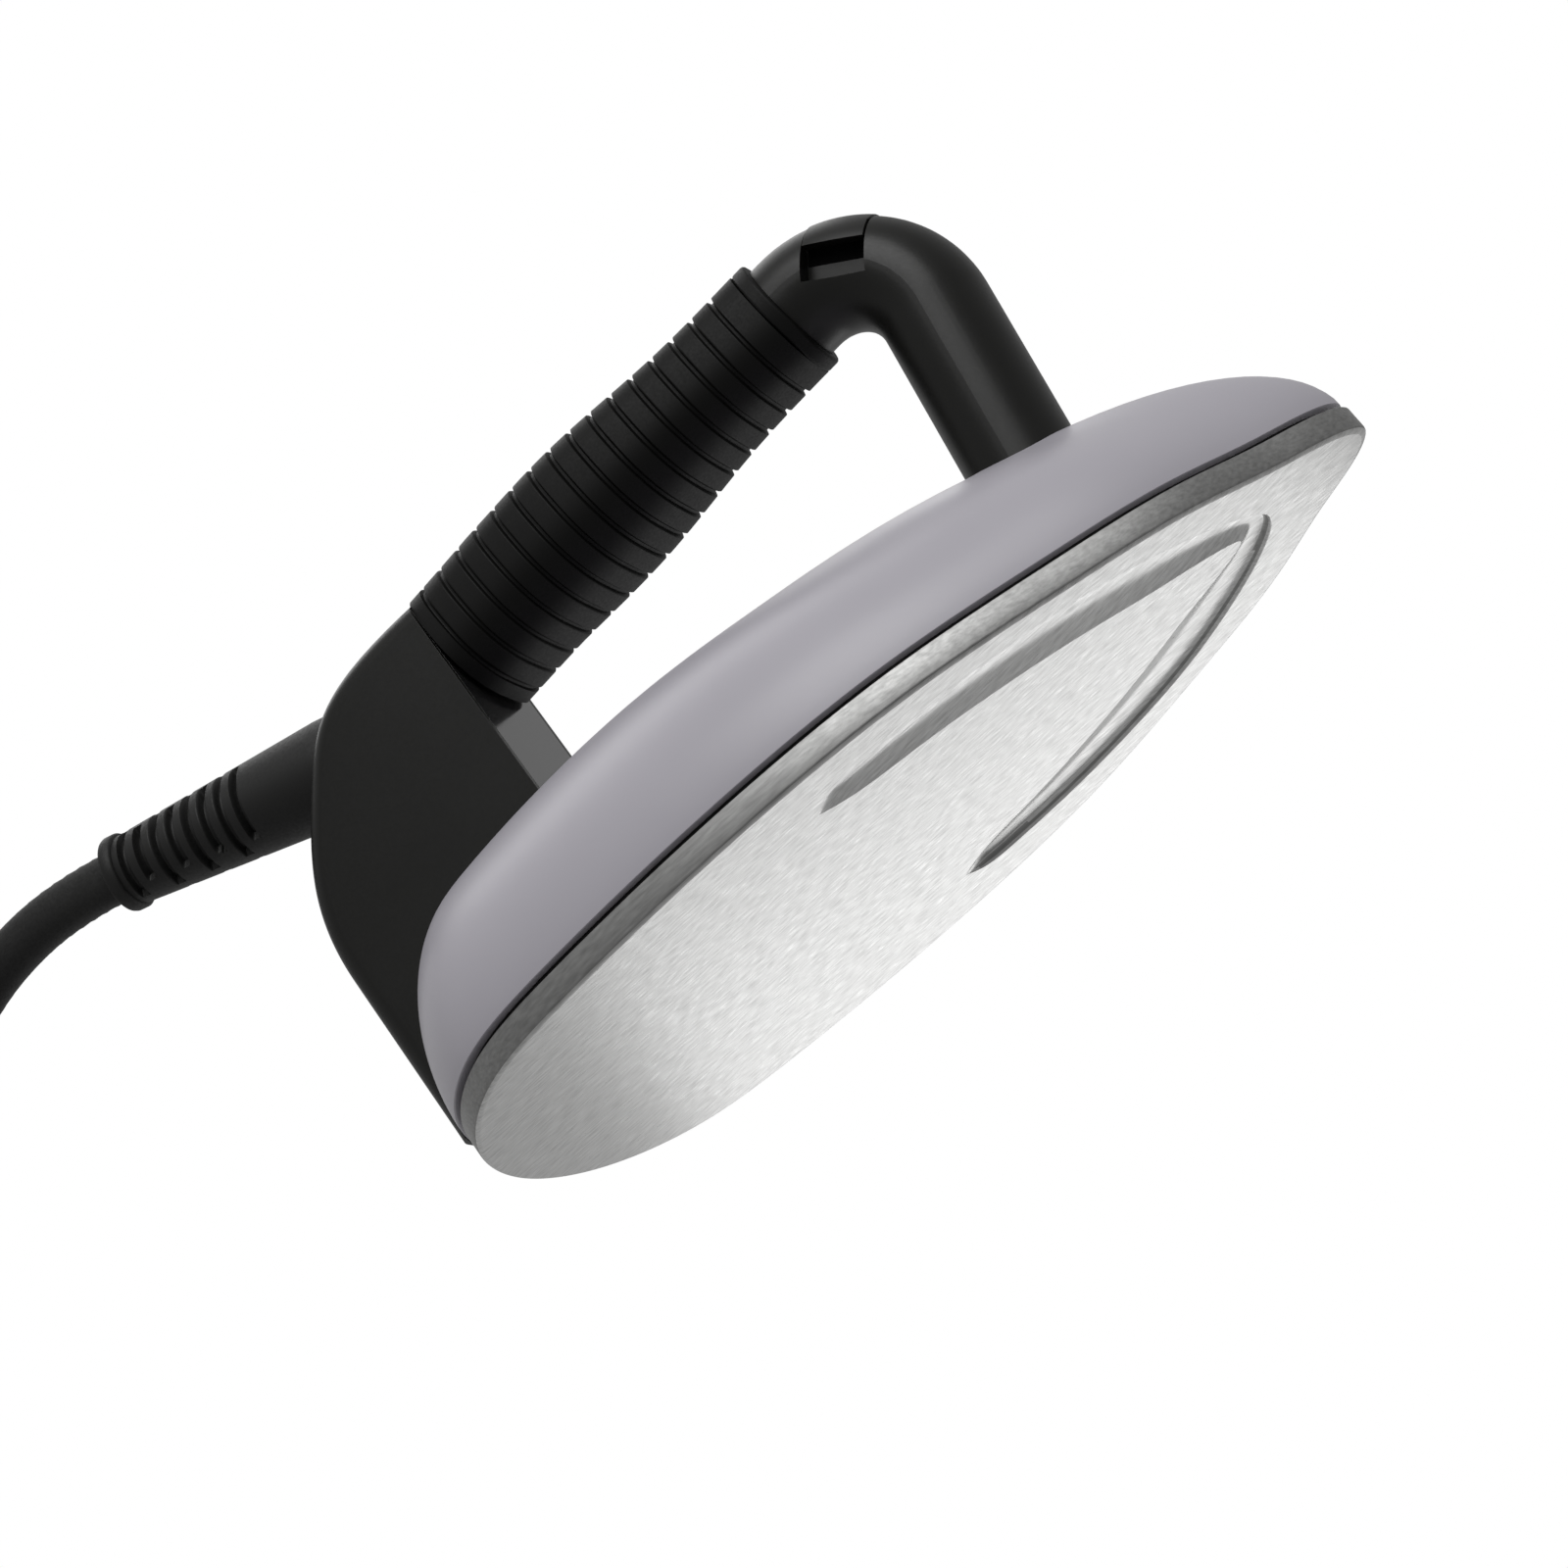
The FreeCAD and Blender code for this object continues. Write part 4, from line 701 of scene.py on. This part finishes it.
def grip_sleeve():
    """The rubber sleeve: a squarish oval that swells in the palm, cut by a row of narrow grooves."""
    span = GRIP_LAST - GRIP_BASE
    stations = np.linspace(GRIP_FIRST, GRIP_LAST, 620)
    sizes = smooth_line([(share * span, w, h) for share, w, h in GRIP_ROWS], 400)
    points = []
    for station in stations:
        along = station - GRIP_BASE
        half_width = np.interp(along, sizes[:, 0], sizes[:, 1])
        half_height = np.interp(along, sizes[:, 0], sizes[:, 2])
        middle = grip_point(station) - GRIP_UP * (GRIP_DROP * max(0.0, 1 - along / span / 0.2))
        for angle in round_angles():
            across = squarish(math.cos(angle)) * half_width
            points.append(tuple(middle + Vector((0, across, 0))
                                + GRIP_UP * (squarish(math.sin(angle)) * half_height)))
    for station in (GRIP_LAST, GRIP_FIRST):
        for angle in round_angles():
            points.append(tuple(grip_point(station) + Vector((0, CORE * math.cos(angle), 0))
                                + GRIP_UP * (CORE * math.sin(angle))))
    faces = sheet_faces(len(stations) + 2, ROUND_SLEEVE, along_closed=True)
    draft = draft_mesh("grip_draft", points, faces)
    pitch = span / RIBS / GRIP_WAY.x
    first = pitch - GROOVE_WIDTH / 2
    sleeve = shaped(bpy.data.objects.new("grip_draft", draft), GROOVES, {
        "Start": tuple(grip_point(GRIP_BASE) * MM), "Axis": tuple(GRIP_WAY), "Side": (0.0, 1.0, 0.0),
        "First": first * MM, "Last": (first + pitch * (RIBS - 2)) * MM, "Pitch": pitch * MM,
        "Width": GROOVE_WIDTH * MM, "Depth": GROOVE_DEPTH * MM, "Open from": -1.0,
        "Finish": FINISHES["grip_rubber"]}, "ribbed_grip")
    sleeve.data.set_sharp_from_angle(angle=SMOOTH_WITHIN)
    place(sleeve, "grip_sleeve")


grip_sleeve()

# ---------------------------------------------------------------- cord outlet

BOOT_LEAN = math.radians(17.5)
BOOT_TIP = Vector((REAR - 34.4, 0.0, 108.3))
BOOT_WAY = Vector((-math.cos(BOOT_LEAN), 0.0, math.sin(BOOT_LEAN)))
BOOT_UP = Vector((-BOOT_WAY.z, 0.0, BOOT_WAY.x))
BOOT_REACH = 70.0
BOOT_BORE = 5.6
COLLAR_END, COLLAR_RADIUS = 16.0, 10.8
TAPER_LENGTH, TAPER_DROP, TAPER_STEPS = 50.4, 3.3, 280
SLOT_STEP, SLOT_ROWS = 4.2, 8  # from one cross slot to the next, long and short in turn
SLOT_WIDTH, SLOT_DEPTH = 1.7, 1.8
LAST_SLOT = 64.0               # along the boot, from its root


def boot_profile():
    """The boot's section: (along it, radius), round its bore, collar, taper and end ring."""
    profile = [(0.0, BOOT_BORE), (0.0, 10.4), (0.4, COLLAR_RADIUS), (COLLAR_END, COLLAR_RADIUS)]
    for k in range(1, TAPER_STEPS + 1):
        profile.append((COLLAR_END + TAPER_LENGTH * k / TAPER_STEPS,
                        COLLAR_RADIUS - TAPER_DROP * k / TAPER_STEPS))
    return profile + [(66.5, 8.0), (66.9, 8.3), (68.8, 8.3), (69.3, 8.1), (69.5, 7.7), (69.5, BOOT_BORE)]


def cord_boot():
    """The bend relief: a tapered sleeve with staggered cross slots and a rounded end ring."""
    root = BOOT_TIP - BOOT_WAY * BOOT_REACH
    profile = boot_profile()
    points = []
    for reach, radius in profile:
        for angle in round_angles():
            points.append(tuple(root + BOOT_WAY * reach + Vector((0, radius * math.cos(angle), 0))
                                + BOOT_UP * (radius * math.sin(angle))))
    faces = sheet_faces(len(profile), ROUND_SLEEVE, along_closed=True)
    draft = draft_mesh("boot_draft", points, faces)
    item = bpy.data.objects.new("boot_draft", draft)
    first = LAST_SLOT - (SLOT_ROWS - 1) * SLOT_STEP
    for offset, open_from in ((SLOT_STEP, 2.0), (0.0, 5.5)):
        item = shaped(item, GROOVES, {
            "Start": tuple(root * MM), "Axis": tuple(BOOT_WAY), "Side": (0.0, 1.0, 0.0),
            "First": (first + offset) * MM, "Last": (first + offset + 6 * SLOT_STEP) * MM,
            "Pitch": 2 * SLOT_STEP * MM, "Width": SLOT_WIDTH * MM, "Depth": SLOT_DEPTH * MM,
            "Open from": open_from * MM, "Finish": FINISHES["black_silicone"]}, "slotted_boot")
    item.data.set_sharp_from_angle(angle=SMOOTH_WITHIN)
    place(item, "cord_boot")


cord_boot()

# ---------------------------------------------------------------- handle, trigger, heel and connector

# How far the edges of each moulded piece are rounded over.
for node, width in (("handle_outer_shell", 0.3), ("handle_inner_shell", 0.3), ("heel_housing", 0.5),
                    ("heel_front_panel", 0.3), ("grip_collar", 0.7), ("trigger_button", 0.7),
                    ("connector_body", 0.8), ("connector_boot", 0.6)):
    softened(node, width)

# A box of painted shade that fills the window under the trigger.
SHADE_BOX_LONG, SHADE_BOX_WIDE = 6.5, 6.96     # half lengths along and across the window
SHADE_BOX_FLOOR, SHADE_BOX_TOP = -1.8, 1.96    # heights from the middle of the switch's plunger


def window_painted_shade():
    """A dead black box round the switch's housing: painted shade that makes the window under the trigger
    look black.
    """
    joint = next(row for row in frame["joints"] if row["name"] == "trigger_press")
    out = -Vector(joint["axis"]).normalized()
    along = Vector((out.z, 0.0, -out.x))
    low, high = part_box("switch_plunger")
    middle = (low + high) / 2 / MM
    corners = ((-SHADE_BOX_LONG, -SHADE_BOX_WIDE), (SHADE_BOX_LONG, -SHADE_BOX_WIDE),
               (SHADE_BOX_LONG, SHADE_BOX_WIDE), (-SHADE_BOX_LONG, SHADE_BOX_WIDE))
    points = [middle + along * x + Vector((0, y, 0)) + out * height
              for height in (SHADE_BOX_FLOOR, SHADE_BOX_TOP) for x, y in corners]
    faces = [(0, 1, 2, 3), (4, 5, 6, 7), (0, 1, 5, 4), (1, 2, 6, 5), (2, 3, 7, 6), (3, 0, 4, 7)]
    piece("window_painted_shade", points, faces, "switch_body", material=FINISHES["window_dark"])


window_painted_shade()

# ---------------------------------------------------------------- cord

CORD_EXIT = (-141.9, 0.0, 108.3)
CORD_ROUTE = [CORD_EXIT, (-148.6, 0.0, 110.4), (-164.4, 0.1, 112.8), (-182.3, 0.6, 110.9),
              (-200.8, 1.6, 103.2), (-219.8, 4.5, 88.2), (-239.5, 13.0, 67.6), (-264.5, 26.5, 45.0),
              (-294.5, 39.0, 27.6), (-326.0, 45.6, 18.4)]
COIL_X, COIL_Y = -324.0, -20.0
COIL_START = (92, 66.2, 18.4)
# Where each stretch of the coil ends (angle, radius, height), and how many points it takes.
COIL_STRETCHES = [((112, 67.6, 14.4), 1), ((180, 69.0, 5.6), 3), ((1170, 45.4, 5.6), 34),
                  ((1230, 50.5, 15.0), 3), ((1608, 58.5, 15.0), 15), ((1634, 63.0, 17.0), 1),
                  ((1657, 64.0, 24.0), 1), ((1675, 57.0, 28.9), 1)]


def coil_point(angle, radius, height):
    """A point of the coil: degrees round its middle, distance out, height."""
    turn = math.radians(angle)
    return (COIL_X + radius * math.cos(turn), COIL_Y + radius * math.sin(turn), height)


def coil_route():
    """The coil's points: down to the table, a layer going in, a second going out, and the tail."""
    points = []
    before = COIL_START
    for after, count in COIL_STRETCHES:
        for step in range(1, count + 1):
            share = step / count
            spot = (low + (high - low) * share for low, high in zip(before, after))
            points.append(coil_point(*spot))
        before = after
    return points


def cord_line():
    """The cord's centre line as one smooth spline."""
    points = CORD_ROUTE + coil_route()
    curve = bpy.data.curves.new("cord_line", "CURVE")
    curve.dimensions = "3D"
    curve.resolution_u = 12
    spline = curve.splines.new("NURBS")
    spline.points.add(len(points) - 1)
    for point, spot in zip(spline.points, points):
        point.co = (spot[0] * MM, spot[1] * MM, spot[2] * MM, 1.0)
    spline.order_u = 3
    spline.use_endpoint_u = True
    return bpy.data.objects.new("cord_line", curve)


def remember(tree, shape, name, value):
    """A shape that carries a value at each of its points."""
    store = add(tree, "GeometryNodeStoreNamedAttribute", {"Geometry": shape, "Name": name, "Value": value},
                domain="POINT")
    return store.outputs["Geometry"]


def braid_tree():
    """A braided sleeve swept along a line: two sets of strands that cross as small diamonds."""
    tree, given, out = shape_tree("braid", {
        "Radius": 0.0054, "Step": 0.001, "Strands": 8.0, "Lay": 0.011, "Relief": 0.0002, "Finish": None})
    line = add(tree, "GeometryNodeResampleCurve", {"Curve": given["Geometry"], "Length": given["Step"]},
               mode="LENGTH")
    reach = add(tree, "GeometryNodeSplineParameter")
    marked = remember(tree, line.outputs["Curve"], "reach", reach.outputs["Length"])
    ring = add(tree, "GeometryNodeCurvePrimitiveCircle", {"Radius": given["Radius"], "Resolution": 32})
    turn = remember(tree, ring.outputs["Curve"], "turn", reach.outputs["Factor"])
    tube = add(tree, "GeometryNodeCurveToMesh", {"Curve": marked, "Profile Curve": turn, "Fill Caps": True})
    round_share = add(tree, "GeometryNodeInputNamedAttribute", {"Name": "turn"}).outputs[0]
    along = add(tree, "GeometryNodeInputNamedAttribute", {"Name": "reach"}).outputs[0]
    across = calculate(tree, "MULTIPLY", round_share, given["Strands"])
    lengthwise = calculate(tree, "DIVIDE", along, given["Lay"])
    lengthwise = calculate(tree, "MULTIPLY", lengthwise, given["Strands"])
    waves = []
    for operation in ("ADD", "SUBTRACT"):
        phase = calculate(tree, operation, across, lengthwise)
        waves.append(calculate(tree, "SINE", calculate(tree, "MULTIPLY", phase, math.pi)))
    weave = calculate(tree, "ABSOLUTE", calculate(tree, "MULTIPLY", waves[0], waves[1]))
    rise = calculate(tree, "MULTIPLY", calculate(tree, "POWER", weave, 0.6), given["Relief"])
    woven = pushed_out(tree, tube.outputs["Mesh"], rise)
    smooth = add(tree, "GeometryNodeSetShadeSmooth", {"Geometry": woven})
    closing(tree, smooth.outputs["Geometry"], given["Finish"], out)
    return tree


def textile_cord():
    """The braided cord, swept along its spline."""
    line = cord_line()
    bpy.context.scene.collection.objects.link(line)
    bpy.context.view_layer.update()
    depsgraph = bpy.context.evaluated_depsgraph_get()
    traced = bpy.data.meshes.new_from_object(line.evaluated_get(depsgraph))
    cord = shaped(line, braid_tree(), {
        "Radius": 5.3 * MM, "Step": 1.1 * MM, "Strands": 8.0, "Lay": 26.0 * MM,
        "Relief": 0.2 * MM, "Finish": FINISHES["cord_textile"]}, "textile_cord")
    place(cord, "cord_tube", "cord_coil")


textile_cord()
